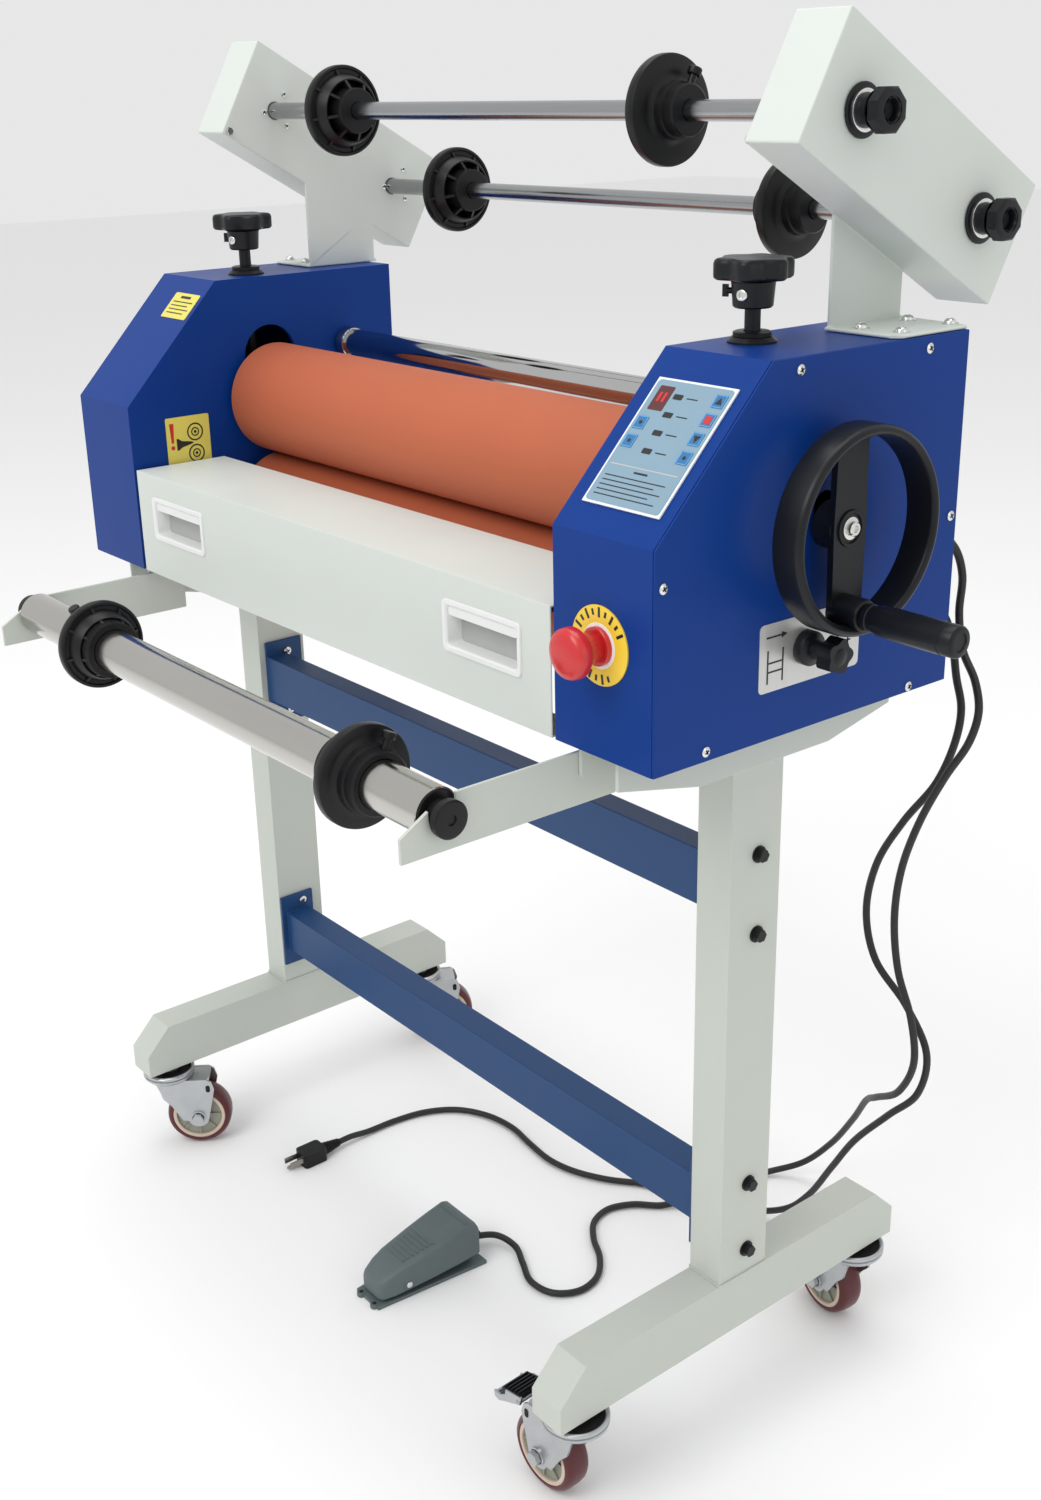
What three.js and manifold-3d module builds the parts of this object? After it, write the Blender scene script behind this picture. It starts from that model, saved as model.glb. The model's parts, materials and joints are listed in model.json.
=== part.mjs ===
// Cold roll laminator on a castered stand, in millimetres, +Z up.
// X runs along the rollers (handwheel side +X), Y runs from the feed side to the back, the floor is Z = 0.
// Pieces are drawn from the machine's centre plane and the whole machine is moved at the end so that the
// middle of its outline stands on the origin.
import * as THREE from "three";
import { mergeVertices } from "three/addons/utils/BufferGeometryUtils.js";
import Module from "manifold-3d";

// ---- driving dimensions -------------------------------------------------------------------------------
const GAP = 0.3; // clearance between pieces that touch
const SHEET = 2; // sheet metal thickness
const CENTRE_X = 65.5; // middle of the outline, from the centre plane
const CENTRE_Y = -112;

const SIDE_INNER = 332; // housing, from the centre plane
const SIDE_OUTER = 440;
const SIDE_WALL = 6; // roller bearing wall
const HOUSING_FRONT = -249.5;
const HOUSING_BACK = 76;
const HOUSING_BASE = 706;
const HOUSING_TOP = 987;
const CHAMFER_LOW = { y: HOUSING_FRONT, z: 872.3 };
const CHAMFER_HIGH = { y: -139, z: HOUSING_TOP };

const ROLLER_Y = -80;
const ROLLER_RADIUS = 56;
const LOWER_ROLLER_Z = 751;
const UPPER_ROLLER_Z = 864;
const RUBBER_HALF = 325;
const CORE_RADIUS = 22;
const JOURNAL_RADIUS = 15;
const WHEEL_SHAFT_RADIUS = 10;
const GUIDE_BAR = { y: 16, z: 910, radius: 15 };

const POST_INNER = 348.5; // stand tubes, from the centre plane
const POST_OUTER = 386.5;
const POST_FRONT = -113;
const POST_BACK = -55;
const FOOT_BASE = 104;
const FOOT_TOP = 161;
const POST_TOP = 702.4;

const CASTER_X = 367.5;
const CASTER_FRONT_Y = -267;
const CASTER_BACK_Y = 93;
const CASTER_TRAIL = 32;
const WHEEL_RADIUS = 37.5;
const WHEEL_WIDTH = 26;

const FEED_ROLL = { y: -366, z: 681, radius: 20 };
const ARM_INNER = 341.9;
const ARM_OUTER = 344.9;
const UNWIND_FRONT = { y: -34, z: 1146 };
const UNWIND_BACK = { y: 108.5, z: 1065 };
const UNWIND_RADIUS = 8;
const UNWIND_END = 437; // right end of the unwind shafts, inside their tension knobs
const BRACKET_INNER = 366;
const BRACKET_OUTER = 417;
const CHUCK_RADIUS = 42;

const PRESSURE_X = 365;
const PRESSURE_Y = -83;
const SPINDLE_TIP = 897; // clear of the roller's shaft when the roller is fully raised
const HANDWHEEL_RADIUS = 77;
const HUB_FACE = 462; // front of the handwheel's hub, behind the front of its deep rim
const CRANK = { y: -84, z: 803 };
const BOSS_FACE = 487; // the crank's boss ends just in front of the rim
const CORD_RADIUS = 3.5;

// Facets round a circle, by the size of the piece.
const FACETS_ROLLER = 36;
const FACETS_WHEEL = 20;
const FACETS_SHAFT = 16;
const FACETS_SMALL = 10;

// ---- geometry tools -----------------------------------------------------------------------------------
const wasm = await Module();
wasm.setup();

function toSolid(geometry) {
  const plain = geometry.index ? geometry.toNonIndexed() : geometry.clone();
  plain.deleteAttribute("normal");
  plain.deleteAttribute("uv");
  const merged = mergeVertices(plain, 1e-4);
  const mesh = new wasm.Mesh({
    numProp: 3,
    vertProperties: merged.attributes.position.array,
    triVerts: new Uint32Array(merged.index.array),
  });
  return new wasm.Manifold(mesh);
}

function toGeometry(solid) {
  const mesh = solid.getMesh();
  const geometry = new THREE.BufferGeometry();
  geometry.setAttribute("position", new THREE.BufferAttribute(new Float32Array(mesh.vertProperties), 3));
  geometry.setIndex(new THREE.BufferAttribute(new Uint32Array(mesh.triVerts), 1));
  geometry.computeVertexNormals();
  return geometry;
}

function join(...pieces) {
  let solid = toSolid(pieces[0]);
  for (const piece of pieces.slice(1)) solid = solid.add(toSolid(piece));
  return toGeometry(solid);
}

function cut(base, ...tools) {
  let solid = toSolid(base);
  for (const tool of tools) solid = solid.subtract(toSolid(tool));
  return toGeometry(solid);
}

// An outline from [a, b] points.
function outline(points) {
  return new THREE.Shape(points.map(([a, b]) => new THREE.Vector2(a, b)));
}

function extrude(points, depth) {
  return new THREE.ExtrudeGeometry(outline(points), { depth, bevelEnabled: false, curveSegments: 1 });
}

const TO_X = new THREE.Matrix4().makeBasis(
  new THREE.Vector3(0, 1, 0),
  new THREE.Vector3(0, 0, 1),
  new THREE.Vector3(1, 0, 0),
);
const TO_Y = new THREE.Matrix4().makeBasis(
  new THREE.Vector3(1, 0, 0),
  new THREE.Vector3(0, 0, 1),
  new THREE.Vector3(0, -1, 0),
);

// A [y, z] outline drawn along X, an [x, z] outline along Y and an [x, y] outline along Z.
function alongX(points, from, to) {
  return extrude(points, to - from).applyMatrix4(TO_X).translate(from, 0, 0);
}

function alongY(points, from, to) {
  return extrude(points, to - from).applyMatrix4(TO_Y).translate(0, to, 0);
}

function alongZ(points, from, to) {
  return extrude(points, to - from).translate(0, 0, from);
}

function box(x0, x1, y0, y1, z0, z1) {
  const geometry = new THREE.BoxGeometry(x1 - x0, y1 - y0, z1 - z0);
  return geometry.translate((x0 + x1) / 2, (y0 + y1) / 2, (z0 + z1) / 2);
}

function rectangle(a0, a1, b0, b1) {
  return [
    [a0, b0],
    [a1, b0],
    [a1, b1],
    [a0, b1],
  ];
}

// Points on a circular arc, angles in degrees.
function arc(a, b, radius, from, to, steps) {
  const points = [];
  for (let i = 0; i <= steps; i += 1) {
    const angle = THREE.MathUtils.degToRad(from + ((to - from) * i) / steps);
    points.push([a + radius * Math.cos(angle), b + radius * Math.sin(angle)]);
  }
  return points;
}

// A convex outline, given anticlockwise, moved inwards by a wall thickness.
function inset(points, wall) {
  const lines = points.map(([a, b], i) => {
    const [c, d] = points[(i + 1) % points.length];
    const length = Math.hypot(c - a, d - b);
    const direction = [(c - a) / length, (d - b) / length];
    return { point: [a - direction[1] * wall, b + direction[0] * wall], direction };
  });
  return lines.map((line, i) => {
    const before = lines[(i + lines.length - 1) % lines.length];
    const [px, py] = before.point;
    const [dx, dy] = before.direction;
    const [ex, ey] = line.direction;
    const reach = ((line.point[0] - px) * ey - (line.point[1] - py) * ex) / (dx * ey - dy * ex);
    return [px + dx * reach, py + dy * reach];
  });
}

// A turned piece from [distance along the axis, radius] points. The profile starts and ends on the axis,
// or returns to its first point when the piece has a bore.
function turned(profile, segments) {
  let area = 0;
  for (let i = 0; i < profile.length; i += 1) {
    const [s, r] = profile[i];
    const [t, q] = profile[(i + 1) % profile.length];
    area += r * t - q * s;
  }
  const ordered = area < 0 ? [...profile].reverse() : profile;
  const points = ordered.map(([s, r]) => new THREE.Vector2(r, s));
  return new THREE.LatheGeometry(points, segments);
}

function turnedX(profile, segments, y, z) {
  return turned(profile, segments).rotateZ(-Math.PI / 2).translate(0, y, z);
}

function turnedY(profile, segments, x, z) {
  return turned(profile, segments).translate(x, 0, z);
}

function turnedZ(profile, segments, x, y) {
  return turned(profile, segments).rotateX(Math.PI / 2).translate(x, y, 0);
}

// A plain rod or ring profile between two places on the axis.
function rod(from, to, radius) {
  return [
    [from, 0],
    [from, radius],
    [to, radius],
    [to, 0],
  ];
}

function ring(from, to, inner, outer) {
  return [
    [from, inner],
    [from, outer],
    [to, outer],
    [to, inner],
    [from, inner],
  ];
}

function flipX(geometry) {
  const flipped = geometry.clone().scale(-1, 1, 1);
  const corners = flipped.index;
  if (!corners) {
    const p = flipped.attributes.position;
    for (let i = 0; i < p.count; i += 3) {
      const [x, y, z] = [p.getX(i), p.getY(i), p.getZ(i)];
      p.setXYZ(i, p.getX(i + 1), p.getY(i + 1), p.getZ(i + 1));
      p.setXYZ(i + 1, x, y, z);
    }
    return flipped;
  }
  for (let i = 0; i < corners.count; i += 3) {
    const first = corners.getX(i);
    corners.setX(i, corners.getX(i + 1));
    corners.setX(i + 1, first);
  }
  return flipped;
}

// ---- paints and materials -----------------------------------------------------------------------------
const FINISHES = {
  bluePaint: { color: 0x1c4a96, roughness: 0.45, metalness: 0.1 },
  beamPaint: { color: 0x1d4480, roughness: 0.5, metalness: 0.1 },
  standPaint: { color: 0xcdd3cc, roughness: 0.5, metalness: 0.1 },
  whitePaint: { color: 0xe4e8e4, roughness: 0.45, metalness: 0.1 },
  salmonRubber: { color: 0xc8704f, roughness: 0.7, metalness: 0 },
  steel: { color: 0xa8abae, roughness: 0.35, metalness: 0.9 },
  chrome: { color: 0xd8dadc, roughness: 0.12, metalness: 1 },
  zinc: { color: 0xb9bdc0, roughness: 0.3, metalness: 0.9 },
  redTyre: { color: 0x6c1a26, roughness: 0.5, metalness: 0 },
  blackPlastic: { color: 0x131415, roughness: 0.45, metalness: 0 },
  redPlastic: { color: 0xc8202c, roughness: 0.35, metalness: 0 },
  panelFoil: { color: 0xa9c0cf, roughness: 0.4, metalness: 0 },
  pedalPaint: { color: 0x566565, roughness: 0.6, metalness: 0.1 },
  cordRubber: { color: 0x0d0d0e, roughness: 0.6, metalness: 0 },
};

const machine = new THREE.Group();

function place(name, geometry, finish, parent = machine) {
  const mesh = new THREE.Mesh(geometry, new THREE.MeshStandardMaterial(FINISHES[finish]));
  mesh.name = name;
  parent.add(mesh);
  return mesh;
}

// Left and right copies of a piece drawn on the right.
function placeBoth(name, geometry, finish) {
  place(`${name}_right`, geometry, finish);
  place(`${name}_left`, flipX(geometry), finish);
}

// ---- stand --------------------------------------------------------------------------------------------
function footGeometry() {
  const profile = [
    [-300, FOOT_BASE],
    [126, FOOT_BASE],
    [126, 134],
    [99, FOOT_TOP],
    [-271, FOOT_TOP],
    [-300, 131],
  ];
  const outside = alongX(profile, POST_INNER, POST_OUTER);
  const inside = alongX(inset(profile, SHEET), POST_INNER + SHEET, POST_OUTER - SHEET);
  const vent = turnedZ(rod(FOOT_BASE - 1, FOOT_BASE + 4, 1.8), FACETS_SMALL, CASTER_X, 0);
  return cut(outside, inside, vent);
}

function uprightGeometry() {
  const outside = box(POST_INNER, POST_OUTER, POST_FRONT, POST_BACK, FOOT_TOP + GAP, POST_TOP);
  const inside = box(
    POST_INNER + SHEET,
    POST_OUTER - SHEET,
    POST_FRONT + SHEET,
    POST_BACK - SHEET,
    FOOT_TOP - 5,
    POST_TOP + 5,
  );
  return cut(outside, inside);
}

// A channel beam with a bolted end plate at each end.
function beamGeometry({ front, back, base, top, plate }) {
  const t = 2.5;
  const channel = alongX(
    [
      [front, base],
      [back, base],
      [back, base + t],
      [front + t, base + t],
      [front + t, top - t],
      [back, top - t],
      [back, top],
      [front, top],
    ],
    -345.5,
    345.5,
  );
  const end = alongX(rectangle(...plate), 345.2, POST_INNER - GAP);
  return join(channel, end, flipX(end));
}

function saddleGeometry() {
  const profile = [
    [-238, 677],
    [-152, 658],
    [-5, 658],
    [69, 674],
    [72, HOUSING_BASE - GAP],
    [-238, HOUSING_BASE - GAP],
  ];
  const block = alongX(profile, 345.2, 389.8);
  const channel = box(POST_INNER - GAP, POST_OUTER + GAP, -300, 100, 600, POST_TOP + GAP);
  return cut(block, channel);
}

function armGeometry() {
  const seat = arc(FEED_ROLL.y, FEED_ROLL.z, 12.4, 180, 360, 8);
  const profile = [
    [-404, 653],
    [-200, 653],
    [-200, 697],
    [FEED_ROLL.y + 12.4, 696.5],
    ...seat.reverse(),
    [FEED_ROLL.y - 12.4, 688],
    [-404, 673],
  ];
  return alongX(profile, ARM_INNER, ARM_OUTER);
}

placeBoth("foot", footGeometry(), "standPaint");
placeBoth("upright", uprightGeometry(), "standPaint");
place(
  "crossbeam_upper",
  beamGeometry({ front: -105, back: -80, base: 523, top: 574, plate: [-106, -60, 493, 590] }),
  "beamPaint",
);
place(
  "crossbeam_lower",
  beamGeometry({ front: -105, back: -75, base: 205, top: 254, plate: [-112, -69, 186, 275] }),
  "beamPaint",
);
placeBoth("saddle", saddleGeometry(), "standPaint");
placeBoth("front_arm", armGeometry(), "standPaint");

// ---- casters: drawn about the swivel axis with the wheel trailing along +X -----------------------------
function forkGeometry() {
  const raceway = turnedZ(
    [
      [84, 0],
      [84, 22],
      [90, 30],
      [95, 30],
      [FOOT_BASE - GAP, 27],
      [FOOT_BASE - GAP, 0],
    ],
    FACETS_SHAFT,
    0,
    0,
  );
  const cheek = [
    [-20, 88],
    [-16, 78],
    [18, 28],
    [24, 25],
    [40, 25],
    [46, 30],
    [54, 72],
    [50, 88],
  ];
  const crown = box(-20, 50, -17, 17, 84, 87);
  const axle = turnedY(rod(-20, 20, 5), FACETS_SMALL, CASTER_TRAIL, WHEEL_RADIUS);
  return join(raceway, alongY(cheek, -17, -14.5), alongY(cheek, 14.5, 17), crown, axle);
}

function casterWheelGeometry() {
  const half = WHEEL_WIDTH / 2;
  return turnedY(
    [
      [-half, 5.4],
      [-half, 27],
      [-half + 2, 35],
      [-half + 6, WHEEL_RADIUS],
      [half - 6, WHEEL_RADIUS],
      [half - 2, 35],
      [half, 27],
      [half, 5.4],
      [-half, 5.4],
    ],
    FACETS_WHEEL,
    CASTER_TRAIL,
    WHEEL_RADIUS,
  );
}

function brakeGeometry() {
  const pedal = [
    [54.5, 80],
    [58, 77],
    [92, 66],
    [96, 70],
    [92, 76],
    [60, 88],
  ];
  return alongY(pedal, -16, 16);
}

const CASTERS = [
  { name: "front_right", x: CASTER_X, y: CASTER_FRONT_Y, heading: [-1, -0.03], brake: true },
  { name: "back_right", x: CASTER_X, y: CASTER_BACK_Y, heading: [-0.98, 0.16], brake: false },
  { name: "front_left", x: -CASTER_X, y: CASTER_FRONT_Y, heading: [0.6, 0.8], brake: false },
  { name: "back_left", x: -CASTER_X, y: CASTER_BACK_Y, heading: [0.5, 0.87], brake: false },
];

for (const caster of CASTERS) {
  const group = new THREE.Group();
  group.position.set(caster.x, caster.y, 0);
  group.rotation.z = Math.atan2(caster.heading[1], caster.heading[0]);
  machine.add(group);
  place(`caster_fork_${caster.name}`, forkGeometry(), "zinc", group);
  place(`caster_wheel_${caster.name}`, casterWheelGeometry(), "redTyre", group);
  if (caster.brake) place(`caster_brake_${caster.name}`, brakeGeometry(), "blackPlastic", group);
}

// ---- side housings ------------------------------------------------------------------------------------
const HOUSING_PROFILE = [
  [HOUSING_FRONT, HOUSING_BASE],
  [HOUSING_BACK, HOUSING_BASE],
  [HOUSING_BACK, HOUSING_TOP],
  [CHAMFER_HIGH.y, CHAMFER_HIGH.z],
  [CHAMFER_LOW.y, CHAMFER_LOW.z],
];
const BEARING_SLOT_HALF = 31;
const BEARING_SLOT_ARC_Z = 907;

function holeX(y, z, radius) {
  return turnedX(rod(SIDE_INNER - 5, SIDE_OUTER + 5, radius), FACETS_SHAFT, y, z);
}

function bearingSlot() {
  const low = 832;
  const top = arc(ROLLER_Y, BEARING_SLOT_ARC_Z, BEARING_SLOT_HALF, 0, 180, 10);
  const points = [[ROLLER_Y - BEARING_SLOT_HALF, low], [ROLLER_Y + BEARING_SLOT_HALF, low], ...top];
  return alongX(points, SIDE_INNER - 5, SIDE_INNER + SIDE_WALL + 5);
}

function housingShell() {
  const rim = SIDE_OUTER - SHEET - GAP;
  const outside = alongX(HOUSING_PROFILE, SIDE_INNER, rim);
  const inside = alongX(inset(HOUSING_PROFILE, SHEET), SIDE_INNER + SIDE_WALL, rim + 5);
  const wallHoles = [
    holeX(ROLLER_Y, LOWER_ROLLER_Z, JOURNAL_RADIUS + 0.5),
    holeX(GUIDE_BAR.y, GUIDE_BAR.z, 8.4),
  ];
  const aboveTop = rod(HOUSING_TOP - 10, HOUSING_TOP + 10, 6.6);
  const spindleHole = turnedZ(aboveTop, FACETS_SMALL, PRESSURE_X, PRESSURE_Y);
  const shell = cut(outside, inside, bearingSlot(), ...wallHoles, spindleHole);
  const nut = turnedZ(ring(HOUSING_TOP - 1, HOUSING_TOP + 4, 6.6, 15), FACETS_SHAFT, PRESSURE_X, PRESSURE_Y);
  const rail = box(318, SIDE_INNER + 1, -240, -152, 801.7, 808 - GAP);
  return join(shell, nut, rail);
}

const MAINS_GLAND = { x: 384, z: 749 };
const PEDAL_GLAND = { x: 384, z: 812 };
const ESTOP = { x: 384, z: 793 };

function rightHousing() {
  const wireHoles = [MAINS_GLAND, PEDAL_GLAND].map(({ x, z }) =>
    turnedY(rod(HOUSING_BACK - 10, HOUSING_BACK + 5, 6.3), FACETS_SMALL, x, z),
  );
  const stopHole = turnedY(rod(HOUSING_FRONT - 5, HOUSING_FRONT + 5, 11), FACETS_SHAFT, ESTOP.x, ESTOP.z);
  return cut(housingShell(), ...wireHoles, stopHole);
}

const CLUTCH = { y: -96, z: 772 };

function coverGeometry(withShafts) {
  const plate = alongX(HOUSING_PROFILE, SIDE_OUTER - SHEET, SIDE_OUTER);
  if (!withShafts) return plate;
  const low = arc(ROLLER_Y, UPPER_ROLLER_Z, 12, 180, 360, 6);
  const high = arc(ROLLER_Y, UPPER_ROLLER_Z + 12, 12, 0, 180, 6);
  const slot = alongX([...low, ...high], SIDE_OUTER - 10, SIDE_OUTER + 10);
  return cut(plate, slot, holeX(CLUTCH.y, CLUTCH.z, 6.4));
}

place("housing_right", rightHousing(), "bluePaint");
place("housing_left", flipX(housingShell()), "bluePaint");
place("side_cover_right", coverGeometry(true), "bluePaint");
place("side_cover_left", flipX(coverGeometry(false)), "bluePaint");

// ---- rollers, bearings and guide bar --------------------------------------------------------------------
function rubberGeometry(z) {
  const sleeve = ring(-RUBBER_HALF, RUBBER_HALF, CORE_RADIUS + GAP, ROLLER_RADIUS);
  return turnedX(sleeve, FACETS_ROLLER, ROLLER_Y, z);
}

function upperShaft() {
  const core = RUBBER_HALF + 2;
  return turnedX(
    [
      [-378, 0],
      [-378, JOURNAL_RADIUS],
      [-core, JOURNAL_RADIUS],
      [-core, CORE_RADIUS],
      [core, CORE_RADIUS],
      [core, JOURNAL_RADIUS],
      [382, JOURNAL_RADIUS],
      [382, WHEEL_SHAFT_RADIUS],
      [HUB_FACE - 5, WHEEL_SHAFT_RADIUS],
      [HUB_FACE - 5, 0],
    ],
    FACETS_SHAFT,
    ROLLER_Y,
    UPPER_ROLLER_Z,
  );
}

function lowerShaft() {
  const core = RUBBER_HALF + 2;
  const sprocketRadius = 38;
  return turnedX(
    [
      [-352, 0],
      [-352, JOURNAL_RADIUS],
      [-core, JOURNAL_RADIUS],
      [-core, CORE_RADIUS],
      [core, CORE_RADIUS],
      [core, JOURNAL_RADIUS],
      [362, JOURNAL_RADIUS],
      [362, sprocketRadius],
      [368, sprocketRadius],
      [368, JOURNAL_RADIUS],
      [380, JOURNAL_RADIUS],
      [380, 0],
    ],
    FACETS_SHAFT,
    ROLLER_Y,
    LOWER_ROLLER_Z,
  );
}

function bearingBlock() {
  const block = box(334, 378, ROLLER_Y - 28, ROLLER_Y + 28, 838, 900);
  const bore = turnedX(rod(330, 382, JOURNAL_RADIUS + 0.4), FACETS_SHAFT, ROLLER_Y, UPPER_ROLLER_Z);
  const screwHole = turnedZ(rod(880.5, 905, 6.5), FACETS_SMALL, PRESSURE_X, PRESSURE_Y);
  return cut(block, bore, screwHole);
}

function guideBar() {
  const end = SIDE_INNER - 1;
  return turnedX(
    [
      [-340, 0],
      [-340, 8],
      [-end, 8],
      [-end, 16.5],
      [-end + 14, 16.5],
      [-end + 14, GUIDE_BAR.radius],
      [end, GUIDE_BAR.radius],
      [end, 8],
      [340, 8],
      [340, 0],
    ],
    FACETS_WHEEL,
    GUIDE_BAR.y,
    GUIDE_BAR.z,
  );
}

place("upper_roller_rubber", rubberGeometry(UPPER_ROLLER_Z), "salmonRubber");
place("upper_roller_shaft", upperShaft(), "steel");
place("lower_roller_rubber", rubberGeometry(LOWER_ROLLER_Z), "salmonRubber");
place("lower_roller_shaft", lowerShaft(), "steel");
placeBoth("bearing_block", bearingBlock(), "steel");
place("guide_bar", guideBar(), "chrome");

// ---- feed table ---------------------------------------------------------------------------------------
const TABLE_HALF = 327.5;
const TABLE_TOP = 810;
const TABLE_REAR = -148;
const TABLE_BASE = 705.5;
const PULLS = [
  [-294, -198],
  [196, 291],
];

function feedTable() {
  const skin = alongX(
    [
      [HOUSING_FRONT, TABLE_BASE],
      [-215, TABLE_BASE],
      [-215, TABLE_BASE + SHEET],
      [HOUSING_FRONT + SHEET, TABLE_BASE + SHEET],
      [HOUSING_FRONT + SHEET, TABLE_TOP - SHEET],
      [TABLE_REAR, TABLE_TOP - SHEET],
      [TABLE_REAR, TABLE_TOP],
      [HOUSING_FRONT, TABLE_TOP],
    ],
    -TABLE_HALF,
    TABLE_HALF,
  );
  const rearLip = box(-315, 315, TABLE_REAR - SHEET, TABLE_REAR, 790, TABLE_TOP - 1);
  const windows = PULLS.map(([a, b]) => box(a, b, HOUSING_FRONT - 5, HOUSING_FRONT + 5, 747, 786));
  return cut(join(skin, rearLip), ...windows);
}

place("feed_table", feedTable(), "whitePaint");

// ---- controls -----------------------------------------------------------------------------------------
function controlPanel() {
  const slope = Math.hypot(CHAMFER_HIGH.y - CHAMFER_LOW.y, CHAMFER_HIGH.z - CHAMFER_LOW.z);
  const along = [(CHAMFER_HIGH.y - CHAMFER_LOW.y) / slope, (CHAMFER_HIGH.z - CHAMFER_LOW.z) / slope];
  const outward = [-along[1], along[0]];
  const at = (distance, lift) => [
    CHAMFER_LOW.y + along[0] * distance + outward[0] * lift,
    CHAMFER_LOW.z + along[1] * distance + outward[1] * lift,
  ];
  const [low, high] = [23.4, 132.2];
  return alongX([at(low, GAP), at(high, GAP), at(high, 1.5), at(low, 1.5)], 347, 427);
}

function stopButton() {
  const face = HOUSING_FRONT - 37;
  return turnedY(
    [
      [face, 0],
      [face, 12],
      [face + 3, 17],
      [face + 8, 20],
      [face + 13, 20],
      [face + 15, 18],
      [face + 15, 9],
      [HOUSING_FRONT + 8, 9],
      [HOUSING_FRONT + 8, 0],
    ],
    FACETS_SHAFT,
    ESTOP.x,
    ESTOP.z,
  );
}

function clutchKnob() {
  return turnedX(
    [
      [SIDE_OUTER - 15, 0],
      [SIDE_OUTER - 15, 6],
      [SIDE_OUTER + 1, 6],
      [SIDE_OUTER + 1, 13.5],
      [SIDE_OUTER + 9, 13.5],
      [SIDE_OUTER + 12, 7],
      [SIDE_OUTER + 20, 7],
      [SIDE_OUTER + 23, 14],
      [SIDE_OUTER + 36, 14],
      [SIDE_OUTER + 37, 12],
      [SIDE_OUTER + 37, 0],
    ],
    FACETS_SHAFT,
    CLUTCH.y,
    CLUTCH.z,
  );
}

// A deep rim with one broad spoke set back inside it, and a boss that carries the crank's pin.
function handwheel() {
  const r = HANDWHEEL_RADIUS;
  const back = 459;
  const front = 486;
  const rim = turnedX(
    [
      [back, r - 3],
      [back + 2, r],
      [front - 4, r],
      [front, r - 3],
      [front, r - 6],
      [front - 3, r - 8],
      [back, r - 8],
      [back, r - 3],
    ],
    FACETS_ROLLER,
    ROLLER_Y,
    UPPER_ROLLER_Z,
  );
  const reach = r - 5;
  const spoke = alongX(
    [
      [ROLLER_Y - 14, UPPER_ROLLER_Z - reach],
      [ROLLER_Y + 14, UPPER_ROLLER_Z - reach],
      [ROLLER_Y + 17, UPPER_ROLLER_Z],
      [ROLLER_Y + 14, UPPER_ROLLER_Z + reach],
      [ROLLER_Y - 14, UPPER_ROLLER_Z + reach],
      [ROLLER_Y - 17, UPPER_ROLLER_Z],
    ],
    back,
    back + 6,
  );
  const hub = turnedX(rod(443, HUB_FACE, 18), FACETS_SHAFT, ROLLER_Y, UPPER_ROLLER_Z);
  const boss = turnedX(rod(back + 1, BOSS_FACE, 13), FACETS_SMALL, CRANK.y, CRANK.z);
  const bore = turnedX(
    rod(440, HUB_FACE - 5 + GAP, WHEEL_SHAFT_RADIUS + GAP),
    FACETS_SHAFT,
    ROLLER_Y,
    UPPER_ROLLER_Z,
  );
  const pinHole = turnedX(rod(463, BOSS_FACE + 2, 5.4), FACETS_SMALL, CRANK.y, CRANK.z);
  return cut(join(rim, spoke, hub, boss), bore, pinHole);
}

function crankHandle() {
  return turnedX(
    [
      [465, 0],
      [465, 5],
      [BOSS_FACE + 1, 5],
      [BOSS_FACE + 1, 9],
      [492, 10],
      [502, 11.5],
      [566, 12],
      [571, 10],
      [571, 0],
    ],
    FACETS_SHAFT,
    CRANK.y,
    CRANK.z,
  );
}

// A star grip over a hub, with the pressing screw below it.
function pressureKnob() {
  const lobes = 6;
  const star = [];
  const steps = 36;
  for (let i = 0; i < steps; i += 1) {
    const angle = (i / steps) * 2 * Math.PI;
    const radius = 27.5 + 2.8 * Math.cos(lobes * angle);
    star.push([PRESSURE_X + radius * Math.cos(angle), PRESSURE_Y + radius * Math.sin(angle)]);
  }
  const stem = turnedZ(
    [
      [SPINDLE_TIP, 0],
      [SPINDLE_TIP, 6],
      [1012, 6],
      [1012, 15],
      [1035, 17],
      [1035, 0],
    ],
    FACETS_SHAFT,
    PRESSURE_X,
    PRESSURE_Y,
  );
  return join(alongZ(star, 1032, 1048), stem);
}

place("control_panel", controlPanel(), "panelFoil");
place("stop_button", stopButton(), "redPlastic");
place("clutch_knob", clutchKnob(), "blackPlastic");
place("handwheel", handwheel(), "blackPlastic");
place("crank_handle", crankHandle(), "blackPlastic");
placeBoth("pressure_knob", pressureKnob(), "blackPlastic");

// ---- drive inside the right housing ---------------------------------------------------------------------
function driveMotor() {
  const gearbox = box(SIDE_INNER + SIDE_WALL + GAP, 398, -14, 58, 716, 786);
  const can = turnedX(rod(390, 434, 26), FACETS_SHAFT, 23, 751);
  return join(gearbox, can);
}

place("drive_motor", driveMotor(), "steel");

// ---- unwind brackets, shafts and chucks -----------------------------------------------------------------
const BRACKET_LENGTH = 260;
const BRACKET_HEIGHT = 100;
const BRACKET_TILT = THREE.MathUtils.degToRad(-29.6);
const BRACKET_CENTRE = { y: 39.75, z: 1106 };

function bracketOutline(lengthways, upwards) {
  const c = Math.cos(BRACKET_TILT);
  const s = Math.sin(BRACKET_TILT);
  const corners = rectangle(-lengthways / 2, lengthways / 2, -upwards / 2, upwards / 2);
  return corners.map(([u, v]) => [BRACKET_CENTRE.y + u * c - v * s, BRACKET_CENTRE.z + u * s + v * c]);
}

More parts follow.
